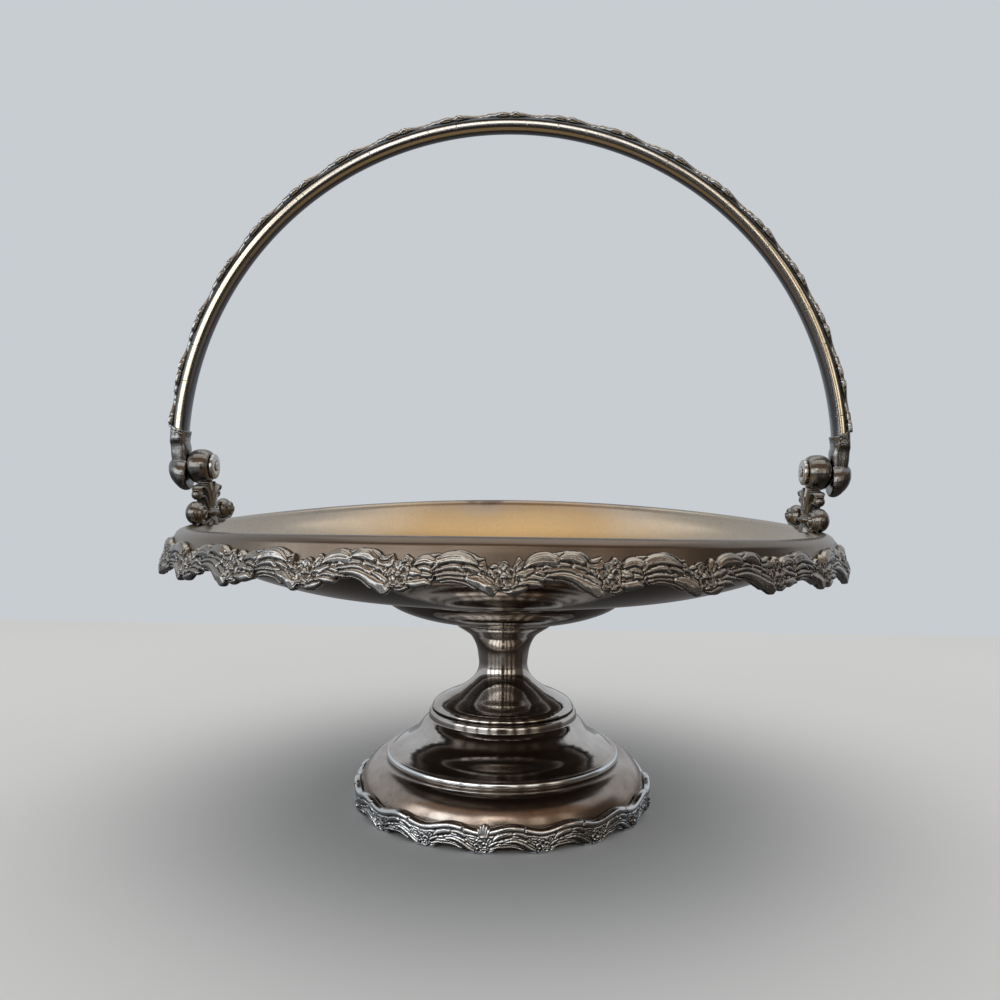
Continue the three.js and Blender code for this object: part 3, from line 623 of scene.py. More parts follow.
# Two arches of leaves, the lowest leaf first: its line in millimetres along the rim from a flower
# and up from the peaks, its half widths along the line, its height and its number of ribs.
first_arch = [
    ([(4.6, -6.2), (7.6, -5.9), (10.4, -5.9), (13.1, -6.7)], [0.45, 0.85, 0.95, 0.32], 1.1, 0),
    ([(13.3, -6.4), (16.5, -6.4), (18.7, -7.4), (20.6, -9.0)], [0.25, 0.6, 0.72, 0.4], 0.8, 0),
    ([(8.1, -3.4), (11.4, -2.8), (14.4, -2.6), (17.0, -3.0)], [0.25, 0.5, 0.68, 0.72], 1.0, 0),
    ([(18.0, -2.8), (20.8, -3.5), (23.0, -4.1)], [0.4, 0.65, 0.34], 0.9, 0),
    ([(7.7, -4.2), (9.0, -4.4), (10.2, -4.6)], [0.35, 0.6, 0.55], 0.9, 0),
    ([(10.7, -4.1), (13.7, -4.0), (17.3, -4.2), (20.3, -5.0)], [0.4, 0.68, 0.82, 0.95], 1.1, 2),
    ([(21.1, -5.2), (22.9, -6.0), (24.5, -7.2), (26.1, -8.2)], [0.35, 0.62, 0.7, 0.45], 0.95, 0),
    ([(11.2, -5.2), (14.9, -5.1), (18.4, -6.0), (21.2, -7.6), (24.2, -9.2)],
     [0.3, 0.7, 0.88, 1.13, 1.3], 1.3, 0),
    ([(6.0, -2.9), (7.9, -2.4), (9.6, -2.1)], [0.3, 0.66, 0.7], 0.9, 0),
    ([(12.9, 0.0), (14.9, 0.2), (17.1, 1.0)], [0.34, 0.54, 0.16], 0.85, 0),
    ([(17.3, 0.6), (19.6, 0.4), (21.4, -0.3), (22.8, -1.3)], [0.3, 0.5, 0.54, 0.3], 0.9, 0),
    ([(14.2, -1.1), (16.5, -0.4), (18.7, -0.5), (20.4, -1.4)], [0.3, 0.95, 1.24, 0.9], 1.1, 3),
    ([(5.3, -3.4), (6.7, -1.9), (8.8, -1.1), (11.2, -0.9), (12.9, -1.2)],
     [0.25, 0.95, 1.3, 1.4, 1.13], 1.15, 3),
    ([(22.7, -1.5), (24.3, -1.3), (25.9, -0.4)], [0.34, 0.52, 0.18], 0.9, 0),
    ([(22.8, -3.8), (24.1, -4.6), (24.9, -5.7)], [0.3, 0.55, 0.3], 1.0, 0),
    ([(2.7, -3.9), (3.2, -2.4), (3.9, -1.2)], [0.3, 0.55, 0.5], 0.9, 0),
    ([(3.4, -4.1), (4.1, -3.2), (4.8, -2.1)], [0.3, 0.45, 0.3], 0.9, 0),
    ([(3.1, -5.2), (5.3, -4.6), (7.2, -4.0)], [0.36, 0.75, 0.5], 1.1, 2),
    ([(4.4, -7.4), (6.5, -7.4), (8.3, -7.5), (9.8, -7.9)], [0.57, 0.85, 0.8, 0.22], 1.3, 0),
    ([(-0.2, -8.9), (1.6, -9.2), (3.8, -9.0), (5.8, -8.2)], [0.5, 0.9, 0.95, 0.4], 1.0, 0),
    ([(-2.0, -8.1), (-1.2, -8.3)], [0.6, 0.66], 1.1, 0),
    ([(0.2, -8.2), (1.0, -8.1)], [0.66, 0.66], 1.15, 0),
    ([(2.3, -7.7), (3.0, -7.4)], [0.6, 0.55], 1.05, 0),
    ([(-0.9, -2.4), (0.1, -2.2), (1.0, -2.5)], [0.36, 0.5, 0.36], 0.8, 0),
    ([(-3.4, -3.2), (-2.6, -3.0), (-2.0, -3.2)], [0.3, 0.5, 0.4], 0.85, 0),
]
second_arch = [
    ([(11.5, -7.2), (14.9, -6.7), (18.0, -7.1), (20.4, -8.6)], [0.36, 0.68, 0.75, 0.47], 0.8, 0),
    ([(10.6, -6.6), (13.8, -5.7), (16.9, -5.9), (20.3, -6.7)], [0.32, 0.5, 0.68, 0.73], 1.05, 0),
    ([(9.8, -5.6), (12.8, -5.0), (15.9, -5.0), (18.9, -5.2)], [0.25, 0.38, 0.46, 0.32], 1.3, 0),
    ([(9.4, -4.5), (11.7, -3.8), (14.0, -3.3), (15.9, -3.3), (17.1, -4.0)],
     [0.25, 0.42, 0.6, 0.66, 0.52], 1.0, 0),
    ([(17.4, -3.2), (19.4, -3.6), (21.4, -4.4)], [0.3, 0.55, 0.3], 0.85, 0),
    ([(11.5, -0.4), (14.0, 0.2), (16.9, 0.3), (19.5, -0.5), (21.2, -1.3), (22.8, -1.1)],
     [0.25, 0.42, 0.45, 0.47, 0.4, 0.2], 0.95, 0),
    ([(9.6, -3.6), (10.7, -1.8), (13.2, -0.9), (15.9, -0.8), (18.6, -1.4), (20.7, -2.5)],
     [0.3, 0.9, 1.15, 1.15, 0.95, 0.36], 1.15, 4),
    ([(21.3, -5.1), (23.2, -6.2), (25.1, -7.1)], [0.3, 0.56, 0.4], 0.95, 0),
    ([(21.8, -3.6), (23.2, -3.9), (24.6, -4.6)], [0.3, 0.56, 0.34], 1.0, 0),
    ([(18.8, -6.3), (21.5, -7.1), (23.5, -8.4), (24.7, -9.5)], [0.73, 1.25, 1.35, 0.95], 1.25, 2),
    ([(7.0, -0.9), (9.0, -0.5), (10.8, -0.1)], [0.28, 0.45, 0.16], 0.85, 0),
    ([(4.1, -3.0), (5.4, -2.0), (7.1, -1.6), (8.8, -2.0)], [0.25, 0.9, 1.05, 0.9], 1.1, 3),
    ([(5.2, -5.5), (7.1, -5.4), (8.8, -5.6)], [0.43, 0.72, 0.35], 0.95, 0),
    ([(5.6, -3.8), (7.2, -3.7), (8.8, -4.2)], [0.35, 0.6, 0.35], 0.8, 0),
    ([(2.4, -4.9), (4.0, -4.6), (5.5, -5.1)], [0.45, 0.86, 0.56], 1.15, 2),
    ([(2.1, -3.6), (2.6, -2.6), (3.1, -1.6)], [0.28, 0.45, 0.4], 0.85, 0),
    ([(4.0, -6.9), (5.6, -6.6), (7.4, -6.6)], [0.35, 0.6, 0.3], 0.85, 0),
    ([(2.4, -7.8), (5.0, -7.9), (7.1, -7.5), (9.0, -7.9)], [0.75, 0.97, 0.95, 0.3], 1.2, 0),
    ([(-0.4, -8.9), (1.2, -9.1), (2.6, -8.9)], [0.5, 0.85, 0.5], 0.95, 0),
    ([(-2.1, -8.0), (-1.3, -8.3)], [0.55, 0.66], 1.05, 0),
    ([(0.2, -8.1), (1.0, -8.0)], [0.66, 0.62], 1.15, 0),
    ([(-3.6, -4.0), (-3.0, -4.6), (-3.2, -5.4)], [0.3, 0.5, 0.3], 0.95, 0),
    ([(-1.2, -2.6), (0.2, -2.1), (1.7, -1.9), (2.4, -1.2), (1.8, -0.7), (1.2, -1.1)],
     [0.3, 0.36, 0.34, 0.32, 0.32, 0.3], 1.0, 0),
]
rim_repeats = 28
rim_pitch = 2 * math.pi * 124.0 / rim_repeats


def relaid(leaves, move, width=1.0, height=1.0):
    """The same leaves with their lines moved, and their widths and heights scaled."""
    return [
        ([move(x, y) for x, y in line], [half * width for half in halves], high * height, ribs)
        for line, halves, high, ribs in leaves
    ]


def carved(leaves, flowers, pitch, high, low, columns, rows):
    """One repeat of a carving, in columns from the top edge of its leaves to their bottom edge.

    Gives each point's height and relief, and the share of the way down that each row is at."""
    x = np.arange(columns) * pitch / columns
    shifts = (-pitch, 0.0, pitch)

    def relief_at(xs, ys):
        relief, solid = np.full_like(xs, ground), np.zeros(xs.shape, bool)
        for points, widths, height, ribs in leaves:
            for shift in shifts:
                moved = [(px + shift, py) for px, py in points]
                leaf(relief, solid, xs, ys, moved, widths, height, ribs)
        for middle, size in flowers:
            for shift in shifts:
                flower(relief, solid, xs, ys, (middle[0] + shift, middle[1]), size)
        return relief, solid

    scan = np.linspace(high, low, 150)
    solid = relief_at(*np.meshgrid(x, scan, indexing="ij"))[1]
    top = scan[solid.argmax(1)]
    bottom = scan[len(scan) - 1 - solid[:, ::-1].argmax(1)]
    top, bottom = [(np.roll(edge, 1) + 2 * edge + np.roll(edge, -1)) / 4 for edge in (top, bottom)]
    share = np.linspace(0, 1, rows)
    share = share - 0.07 * np.sin(2 * math.pi * share)      # rows lie closer at the edges
    xs = np.repeat(x[:, None], rows, 1)
    ys = top[:, None] + (bottom - top)[:, None] * share
    return ys, relief_at(xs, ys)[0], share


def cast_band(name, repeats, turn, level, back, edge, crown, reach, carving, shape=None):
    """A closed cast band: its carved face outside, and a plain back on the sheet behind it.

    Its back stands at the radius that back gives for a height. The face is as thick as edge at
    its edges, swells by crown between them, and stays within reach."""
    ys, relief, share = carving
    columns = len(ys)
    rounds = repeats * columns
    angles = math.radians(turn) + 2 * math.pi * np.arange(rounds) / rounds
    ys, relief = np.tile(ys, (repeats, 1)), np.tile(relief, (repeats, 1))
    swell = edge + crown * np.sin(math.pi * share) ** 0.5
    face = np.minimum(back(ys) + swell + relief, reach)
    hidden = back(ys[:, [-1, 0]])
    radius = np.hstack([face, hidden]) * MM
    height = (level + np.hstack([ys, ys[:, [-1, 0]]])) * MM
    grid = np.stack([
        radius * np.sin(angles)[:, None], -radius * np.cos(angles)[:, None], height,
    ], -1)
    return skinned(name, shape(grid) if shape else grid)


def worn(piece, rounds, reach):
    """Marks how far each point stands proud of the surface smoothed round it, or lies below."""
    place, out = points_of(piece), points_of(piece, "normal")
    count = len(place)
    ends = np.empty(len(piece.data.edges) * 2, np.int32)
    piece.data.edges.foreach_get("vertices", ends)
    first, second = ends.reshape(-1, 2).T
    meeting = np.bincount(first, minlength=count) + np.bincount(second, minlength=count)
    smooth = place.copy()
    for _ in range(rounds):
        total = [
            np.bincount(first, smooth[second, axis], count)
            + np.bincount(second, smooth[first, axis], count) for axis in range(3)
        ]
        smooth = (smooth + np.stack(total, 1) / meeting[:, None]) / 2
    proud = ((place - smooth) * out).sum(1)
    marked(piece, "relief", np.clip(0.5 + proud / (2 * reach * MM), 0, 1))


def cast_silver(name, warm, cool, dull, roughness):
    """Cast plate: dark tarnish in the hollows of the relief, rubbed bright on its heights; painted
    reflections make faces that look up warm and faces that look down cool.
    """
    coat, place = new_coat(name)
    relief = coat.node("Attribute", {"attribute_name": "relief"}, out=2)
    cloud = coat.noise(place, 60.0, 5.0, 0.6)
    grain = coat.noise(place, 1500.0, 3.0, 0.7)
    rubbed = coat.ramp(relief, 0.24, 0.54, kind="SMOOTHSTEP")
    mask = (rubbed + (cloud - 0.5) * 0.5 + (grain - 0.5) * 0.2).clamped()
    # Painted reflections: warm on faces that look up, cool on faces that look down.
    facing_up = (coat.axis(coat.node("NewGeometry", out=1), 2) * 0.9 + 0.5).clamped()
    colour = coat.mixed(mask, dull, coat.mixed(facing_up, cool, warm))
    gloss = (roughness + 0.3) - mask * 0.3 + (grain - 0.5) * 0.08
    return coat.plated(colour, gloss, 0.15, grain)


border_silver = cast_silver(
    "border_silver", (0.33, 0.295, 0.25), (0.44, 0.47, 0.50), (0.05, 0.044, 0.039), 0.22
)

two_arches = first_arch + relaid(second_arch, lambda x, y: (x + rim_pitch, y))
rim_flowers = [((0.0, -5.3), 3.0), ((rim_pitch, -5.3), 3.0)]
rim_carving = carved(two_arches, rim_flowers, rim_pitch * 2, 1.6, -11.4, columns=168, rows=40)


def flange_face(rise):
    """The flange's radius, at a height over the border's peaks: it leans out as it goes down."""
    return 122.2 + 0.14 * np.clip(-rise - 1, 0, 8) + 0.3 * np.clip(-rise - 4, 0, 7)


rim_border = cast_band(
    "rim_border_cast", rim_repeats // 2, turn=2.2, level=107.75, back=flange_face,
    edge=0.5, crown=1.5, reach=127.35, carving=rim_carving, shape=sagged,
)
worn(rim_border, 10, 0.16)
rim_border.data.materials.append(border_silver)
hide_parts("rim_border")
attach(rim_border, "basket")


# The foot border: a smaller cast band of the same leaves, soldered round the foot so that
# its lobes stand on the table. A plain rolled moulding waves along its upper edge.

foot_repeats = 17
foot_pitch = 2 * math.pi * 56.4 / foot_repeats
foot_wave = 2.0         # how far the border's flowers hang under its arches
foot_scale = 0.6        # the size of its leaves beside the rim's
foot_drop = 2.2


def wave(share):
    """How low the border waves, at a share of one repeat."""
    return foot_wave * (0.5 + 0.5 * math.cos(2 * math.pi * share))


def on_foot(x, y):
    """A place on a rim arch made smaller, and laid on the deeper wave of the foot."""
    return x * (foot_pitch / rim_pitch), y * foot_scale - wave(x / rim_pitch) - foot_drop


low_leaves = [
    ([(7.5, -7.9), (10.5, -7.7), (14.5, -8.0), (19.0, -9.3)], [0.45, 0.95, 1.0, 0.4], 1.0, 2),
    ([(7.5, -6.6), (11.0, -6.4), (14.5, -6.7), (18.5, -8.0)], [0.35, 0.8, 0.9, 0.4], 0.9, 0),
    ([(19.0, -7.4), (21.5, -8.2), (24.0, -9.0)], [0.4, 0.9, 0.5], 0.9, 0),
    ([(3.0, -8.6), (5.5, -8.0), (8.5, -7.6)], [0.5, 1.0, 0.5], 0.9, 2),
]
moulding = [(foot_pitch * step / 8, -0.8 - 0.9 * wave(step / 8)) for step in range(-2, 11)]
foot_leaves = relaid(low_leaves + first_arch, on_foot, foot_scale, foot_scale)
foot_leaves.append((moulding, [0.8], 1.25, 0))
foot_flowers = [((0.0, -5.0 * foot_scale - foot_wave - foot_drop), 2.3)]
foot_carving = carved(foot_leaves, foot_flowers, foot_pitch, 0.6, -9.85, columns=96, rows=44)
foot_border = cast_band(
    "foot_border_cast", foot_repeats, turn=-4.8, level=9.9,
    back=lambda rise: np.full_like(rise, 55.3),
    edge=0.5, crown=0.9, reach=58.2, carving=foot_carving,
)
worn(foot_border, 10, 0.12)
foot_border_silver = cast_silver(
    "foot_border_silver", (0.66, 0.66, 0.65), (0.68, 0.74, 0.79), (0.06, 0.052, 0.046), 0.16
)
foot_border.data.materials.append(foot_border_silver)
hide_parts("foot_border")
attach(foot_border, "basket")


# The shell: a small fluted scallop on the front of the foot border, over its moulding.
# Its five flutes fan out from a root, and stand a little further out than the leaves.


def fused(name, parts, voxel):
    """One cast skin over closed parts that run into one another; voxel is its finest detail."""
    work = bmesh.new()
    for part in parts:
        work.from_mesh(part.data)
        bpy.data.objects.remove(part)
    mesh = bpy.data.meshes.new(name)
    work.to_mesh(mesh)
    work.free()
    piece = linked(name, mesh)
    remesh = piece.modifiers.new("skin", "REMESH")
    remesh.mode = "VOXEL"
    remesh.voxel_size = voxel * MM
    remesh.use_smooth_shade = True
    melt = piece.modifiers.new("melt", "SMOOTH")
    melt.factor = 0.5
    melt.iterations = 2
    melted = piece.evaluated_get(bpy.context.evaluated_depsgraph_get())
    solid = bpy.data.meshes.new_from_object(melted)
    piece.modifiers.clear()
    piece.data = solid
    solid.name = name
    return piece


def swept(points, sections, sides=20, steps=6):
    """A closed rod along points; each section gives its half sizes along X and across."""
    line = along(points, steps)
    place = np.linspace(0, 1, len(line))
    sizes = np.array(sections)
    wide = np.interp(place, np.linspace(0, 1, len(sizes)), sizes[:, 0])
    thick = np.interp(place, np.linspace(0, 1, len(sizes)), sizes[:, 1])
    step = heading(line[:, 1:])
    turns = all_round(sides)
    sideways = np.outer(thick, np.sin(turns))
    grid = np.stack([
        line[:, 0, None] + np.outer(wide, np.cos(turns)),
        line[:, 1, None] - step[:, 1, None] * sideways,
        line[:, 2, None] + step[:, 0, None] * sideways,
    ], -1) * MM
    return skinned("rod", grid, capped=True)


def ball(middle, radii, rings=14, sides=24):
    """An egg of three half sizes."""
    rise = np.linspace(-math.pi / 2, math.pi / 2, rings)[1:-1]
    turns = all_round(sides)
    grid = np.stack([
        middle[0] + radii[0] * np.outer(np.cos(rise), np.cos(turns)),
        middle[1] + radii[1] * np.outer(np.cos(rise), np.sin(turns)),
        middle[2] + radii[2] * np.outer(np.sin(rise), np.ones(sides)),
    ], -1) * MM
    return skinned("ball", grid, capped=True)


def mirrored(name, piece):
    """The other side's piece: the same one turned half round the Z axis."""
    twin = linked(name, piece.data.copy())
    twin.data.name = name
    for vertex in twin.data.vertices:
        vertex.co.x, vertex.co.y = -vertex.co.x, -vertex.co.y
    twin.data.update()
    return twin


shell_low, shell_high = [np.array(corner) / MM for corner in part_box("foot_shell")]
shell_shift = 2.0       # the photograph's shell stands this far to the right of the node's
shell_x = (shell_low[0] + shell_high[0]) / 2 + shell_shift
shell_foot = shell_low[2]
flute_spread = 9        # degrees from one flute to the next
flute_length = 5.3      # of the middle one
flutes = []
for flute in range(-2, 3):
    lean = math.radians(flute * flute_spread)
    reach = flute_length - 0.28 * flute**2
    root = np.array([shell_x + 0.36 * flute, -57.7, shell_foot - 0.1])
    middle = root + np.array([math.sin(lean), 0.2, math.cos(lean)]) * reach / 2
    flutes.append(ball(middle, (0.5, 0.8, reach / 2)))
    for vertex in flutes[-1].data.vertices:
        side, rise = vertex.co.x - middle[0] * MM, vertex.co.z - middle[2] * MM
        vertex.co.x = middle[0] * MM + side * math.cos(lean) + rise * math.sin(lean)
        vertex.co.z = middle[2] * MM + rise * math.cos(lean) - side * math.sin(lean)
flutes.append(ball((shell_x, -57.3, shell_foot + 0.9), (1.9, 1.0, 0.9)))
flutes.append(ball((shell_x, -56.7, shell_foot + 2.4), (1.9, 1.1, 2.4)))
shell = fused("foot_shell_cast", flutes, 0.12)
worn(shell, 8, 0.1)
shell.data.materials.append(foot_border_silver)
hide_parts("foot_shell")
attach(shell, "basket")


# The lugs: two castings soldered on the rim, each a fluted palmette between rolled scrolls.
# A plain round barrel on top of each is bored for the handle's pin.

lug_level = 106.98
pivot_level = 128.78
lug_middle = 115.5
leaf_middle = 117.5
barrel_inner, barrel_outer = 115.6, 124.0
bore_radius = 1.9
lug_silver = cast_silver(
    "lug_silver", (0.20, 0.185, 0.165), (0.185, 0.185, 0.18), (0.02, 0.018, 0.016), 0.2
)


def turned_about_x(outline, level, sides=48):
    """An outline of radius and place along X, turned about a level axis along X."""
    turns = all_round(sides)
    outline = np.array(outline)
    grid = np.stack([
        np.tile(outline[:, 1], (sides, 1)),
        np.outer(np.cos(turns), outline[:, 0]),
        level + np.outer(np.sin(turns), outline[:, 0]),
    ], -1) * MM
    return skinned("turned", grid)


def volute(side):
    """A rolled scroll: a band runs out along the rim, rolls over a ball and winds into its eye."""
    y, z = 15.7, 111.3
    windings = 1.6
    path = [
        (lug_middle + 1.0, 1.5, 109.0), (lug_middle + 0.8, 5.0, 107.9),
        (lug_middle + 0.2, 9.5, 107.3),
    ]
    sections = [(1.8, 0.9), (1.9, 0.9), (1.6, 0.8)]
    steps = 26
    for i in range(steps + 1):
        share = i / steps
        angle = -math.pi / 2 - 0.35 + 2 * math.pi * windings * share
        radius = 3.35 - 2.5 * share
        inward = lug_middle - 1.1 - 1.5 * share
        path.append((inward, y + radius * math.cos(angle), z + radius * math.sin(angle)))
        sections.append((1.15, 0.6 - 0.15 * share))
    band = swept([(x, side * across, up) for x, across, up in path], sections, 24, 3)
    crown = ball((lug_middle + 0.9, side * y, z), (3.6, 4.4, 4.4), 24, 40)
    eye = ball((lug_middle - 2.6, side * y, z), (1.1, 0.8, 0.8))
    return [band, crown, eye]


# Ribs of the palmette, in millimetres: out from its middle line and up from its collar,
# with the half widths that each has along X and across.
palmette_collar = 110.8
palmette_ribs = [
    ([(0.45, -1.0), (1.0, 4.0), (2.1, 8.4), (3.7, 12.0)],
     [(1.5, 0.4), (2.4, 0.55), (2.7, 0.75), (2.3, 0.6)]),
    ([(0.75, -1.0), (1.6, 3.4), (3.3, 7.6), (5.9, 11.2)],
     [(1.5, 0.4), (2.3, 0.55), (2.6, 0.75), (2.3, 0.6)]),
    ([(1.05, -1.0), (2.2, 2.8), (4.0, 6.6), (6.2, 9.1), (8.6, 10.2), (11.0, 9.9), (12.3, 8.5)],
     [(1.5, 0.4), (2.3, 0.6), (2.6, 0.8), (2.7, 0.85), (2.6, 0.8), (2.3, 0.7), (1.5, 0.45)]),
    ([(1.3, -1.0), (2.8, 1.9), (5.2, 4.8), (7.6, 6.6), (8.8, 6.2)],
     [(1.3, 0.4), (2.0, 0.6), (2.3, 0.75), (2.1, 0.7), (1.5, 0.5)]),
    ([(1.5, -1.0), (3.6, 0.8), (6.4, 2.2), (8.8, 2.3), (10.6, 1.2)],
     [(1.2, 0.4), (1.8, 0.6), (2.0, 0.7), (1.5, 0.6), (0.6, 0.3)]),
]
palmette_webs = [
    [(1.0, -0.8), (2.2, 3.8), (4.2, 8.2), (3.4, 11.0)],
    [(1.6, 0.0), (4.0, 4.2), (6.6, 7.8), (8.6, 9.2)],
    [(1.4, -1.2), (4.6, 0.0), (8.8, 0.5)],
]


def palmette():
    """Ribs rise from a collar and spread on a thinner web; the third ones curl over balls."""
    x = leaf_middle
    parts = [
        swept([(x, 0, palmette_collar + rise) for rise in (-1.0, 4.7, 8.7, 12.4)],
              [(1.6, 0.5), (2.5, 0.65), (2.8, 0.95), (2.2, 0.7)]),
    ]
    for side in (-1, 1):
        for path, sizes in palmette_ribs:
            parts.append(swept([(x, side * y, palmette_collar + z) for y, z in path], sizes))
        for path in palmette_webs:
            web = [(x - 0.1, side * y, palmette_collar + z) for y, z in path]
            parts.append(swept(web, [(0.95, 1.0), (1.05, 2.0), (1.0, 1.5), (0.7, 0.5)], 16))
        parts.append(ball((x + 0.3, side * 10.3, 118.0), (2.1, 2.05, 2.05), 18, 28))
    return parts


lug_parts = palmette() + volute(-1) + volute(1)
barrel = [(radius, barrel_inner + out) for radius, out in (
    (bore_radius, 0.0), (5.2, 0.0), (5.75, 0.25), (6.35, 1.2), (6.7, 2.5), (6.8, 4.1),
    (6.7, 5.6), (6.25, 6.9), (5.5, 7.8),
)]
barrel += [(4.6, barrel_outer), (bore_radius, barrel_outer)]
lug_parts.append(turned_about_x(barrel, pivot_level))
post = spun("post", [
    (0.0, lug_level - 1.2), (3.4, lug_level - 1.2), (3.1, lug_level + 0.8), (2.5, lug_level + 2.4),
    (3.0, 110.0), (3.5, 110.35), (3.6, 110.9), (3.4, 111.4), (2.7, 111.6), (2.4, 112.4),
    (0.0, 112.6),
], 32)
for vertex in post.data.vertices:
    vertex.co.x += (lug_middle + 1.0) * MM
lug_parts.append(post)
lug_right = fused("lug_right_cast", lug_parts, 0.195)


def clear_of_rim(piece):
    """Keeps a lug's feet on the rim: points that would sink into the sheet rise to its face."""
    clearance = 0.05
    for vertex in piece.data.vertices:
        reach = math.hypot(vertex.co.x, vertex.co.y) / MM
        if reach < bowl_inside[-1, 0]:
            face = np.interp(reach, bowl_inside[:, 0], bowl_inside[:, 1])
            lowest = face - sag(vertex.co.x / MM, reach) + clearance
            vertex.co.z = max(vertex.co.z, lowest * MM)
    piece.data.update()


clear_of_rim(lug_right)
worn(lug_right, 14, 0.3)
lug_right.data.materials.append(lug_silver)
lug_left = mirrored("lug_left_cast", lug_right)
for lug, node in ((lug_right, "lug_right"), (lug_left, "lug_left")):
    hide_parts(node)
    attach(lug, "basket")


# The pivots: a headed pin through each barrel, riveted over a thick washer on the inner side.
# Both are turned, and stay with the basket while the handle swings.

pin_silver = silver("pin_silver", (0.56, 0.54, 0.51), (0.26, 0.23, 0.2), 0.35, 0.18)
pin_radius = 1.6
washer_radius = 4.9
washer_outer = barrel_inner - 0.3
washer_inner = washer_outer - 1.6
rivet_end = washer_inner - 0.5
pin_end = 132.2
pin = turned_about_x([
    (0.001, rivet_end), (1.1, rivet_end + 0.02), (1.75, rivet_end + 0.16), (1.9, rivet_end + 0.42),
    (pin_radius, rivet_end + 0.5), (pin_radius, pin_end - 0.5), (1.85, pin_end - 0.46),
    (1.88, pin_end - 0.3), (1.6, pin_end - 0.12), (0.9, pin_end - 0.02), (0.001, pin_end),
], pivot_level)
washer = turned_about_x([
    (pin_radius + 0.1, washer_outer), (pin_radius + 0.1, washer_inner + 0.1), (2.1, washer_inner),
    (4.2, washer_inner), (4.65, washer_inner + 0.18), (washer_radius, washer_inner + 0.55),
    (washer_radius, washer_outer - 0.2), (4.7, washer_outer),
], pivot_level)
for right, name, node in (
    (pin, "pin_right_turned", "pivot_pin"), (washer, "washer_right_turned", "pivot_washer"),
):
    right.name = right.data.name = name
    right.data.materials.append(pin_silver)
    left = mirrored(name.replace("right", "left"), right)
    for piece, side in ((right, "_right"), (left, "_left")):
        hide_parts(node + side)
        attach(piece, "basket")


# The handle's ends: each a cast knuckle, shaped like a drop, that turns on its pin.
# A ferrule with a dimpled sleeve rises from it and holds the end of the bow.

arch_middle = 127.9     # radius of the bow's middle line
arch_rise = 3.3         # how far the arch's centre is over the pivots
bow_depth = 4.9
bow_width = 8.6
flat_radius = arch_middle + bow_depth / 2
strip_inner = flat_radius + 0.3
strip_thickness = 0.9
ferrule_height = 15.3
knuckle_inner = 124.3


def arch_x(height):
    """How far out the middle of the bow is, at a height over the pivot."""
    return math.sqrt(arch_middle**2 - (height - arch_rise) ** 2) + strip_thickness / 2


# The knuckle's rings, in millimetres: place along X, radius, and drop of its middle.
knuckle_x, knuckle_radius, knuckle_drop = zip(
    (knuckle_inner, 5.6, 3.2), (124.7, 6.05, 3.2), (125.4, 6.3, 3.15), (126.4, 6.4, 3.05),
    (127.4, 6.25, 2.8), (128.3, 5.9, 2.5), (129.3, 5.35, 2.1), (130.2, 4.8, 1.7),
    (130.9, 4.2, 1.35), (131.5, 3.4, 1.0), (131.9, 2.6, 0.7),
)
knuckle = turned_about_x([
    (bore_radius, knuckle_inner), *zip(knuckle_radius, knuckle_x), (bore_radius, 131.95),
], 0)
for vertex in knuckle.data.vertices:
    in_bore = math.hypot(vertex.co.y, vertex.co.z) <= 2.5 * MM
    if not in_bore:
        vertex.co.z -= np.interp(vertex.co.x / MM, knuckle_x, knuckle_drop) * MM
    vertex.co.z += pivot_level * MM


def blunted(sine, power):
    """A sine or cosine made blunter: 1 keeps it round, and less goes towards a square."""
    return np.sign(sine) * np.abs(sine) ** power


# The ferrule's levels, in millimetres: height over the pivot, middle along X, half depth and
# half width. It is nearly square, and its top edge slants down towards the basket.
sleeve_top = ferrule_height + 0.9
levels = along([
    (0.0, 127.6, 3.2, 3.6), (2.9, 127.65, 3.35, 3.8), (5.0, 127.75, 3.5, 3.9),
    (7.0, 127.75, 3.6, 3.95), (8.5, 127.95, 3.5, 4.05), (9.5, arch_x(9.5), 3.4, 4.4),
    (10.4, arch_x(10.4), 3.35, 4.75), (12.6, arch_x(12.6), 3.35, 4.8),
    (14.6, arch_x(14.6), 3.4, 4.88), (15.7, arch_x(15.7), 3.42, 4.92),
    (sleeve_top, arch_x(sleeve_top), 3.35, 4.85),
], 5)
turns = all_round(40)
ferrule = skinned("sleeve", np.stack([
    levels[:, 1, None] + np.outer(levels[:, 2], blunted(np.cos(turns), 0.65)),
    np.outer(levels[:, 3], blunted(np.sin(turns), 0.65)),
    pivot_level + np.tile(levels[:, :1], len(turns)),
], -1) * MM, capped=True)
slant_from = 11.2
slant = 0.5
for vertex in ferrule.data.vertices:
    height = vertex.co.z / MM - pivot_level
    if height > slant_from:
        inward = min(max((arch_x(height) + 2.9 - vertex.co.x / MM) / 5.5, 0), 1)
        vertex.co.z -= (height - slant_from) * slant * inward * MM
end_right = fused("handle_end_right_cast", [knuckle, ferrule], 0.18)

# Punched dimples cover the sleeve above its collar.
dimple_count, dimple_radius, dimple_depth = 480, 0.42, 0.22
collar_top = 10.4
chance = np.random.default_rng(5)
dimples = np.stack([
    chance.uniform(arch_middle - 4, arch_middle + 4.5, dimple_count),
    chance.uniform(-5.4, 5.4, dimple_count),
    pivot_level + chance.uniform(10.8, 16.0, dimple_count),
], 1) * MM
place = points_of(end_right)
textured = np.clip((place[:, 2] / MM - pivot_level - collar_top) / 0.3, 0, 1)
nearest = np.full(len(place), 1.0)
for dimple in dimples:
    nearest = np.minimum(nearest, np.linalg.norm(place - dimple, axis=1) / MM)
depth = dimple_depth * MM * textured * np.clip(1 - nearest / dimple_radius, 0, 1)
place -= points_of(end_right, "normal") * depth[:, None]
end_right.data.vertices.foreach_set("co", place.reshape(-1))
end_right.data.update()
worn(end_right, 10, 0.22)
end_right.data.materials.append(cast_silver(
    "end_silver", (0.235, 0.225, 0.215), (0.22, 0.225, 0.23), (0.045, 0.038, 0.03), 0.19
))
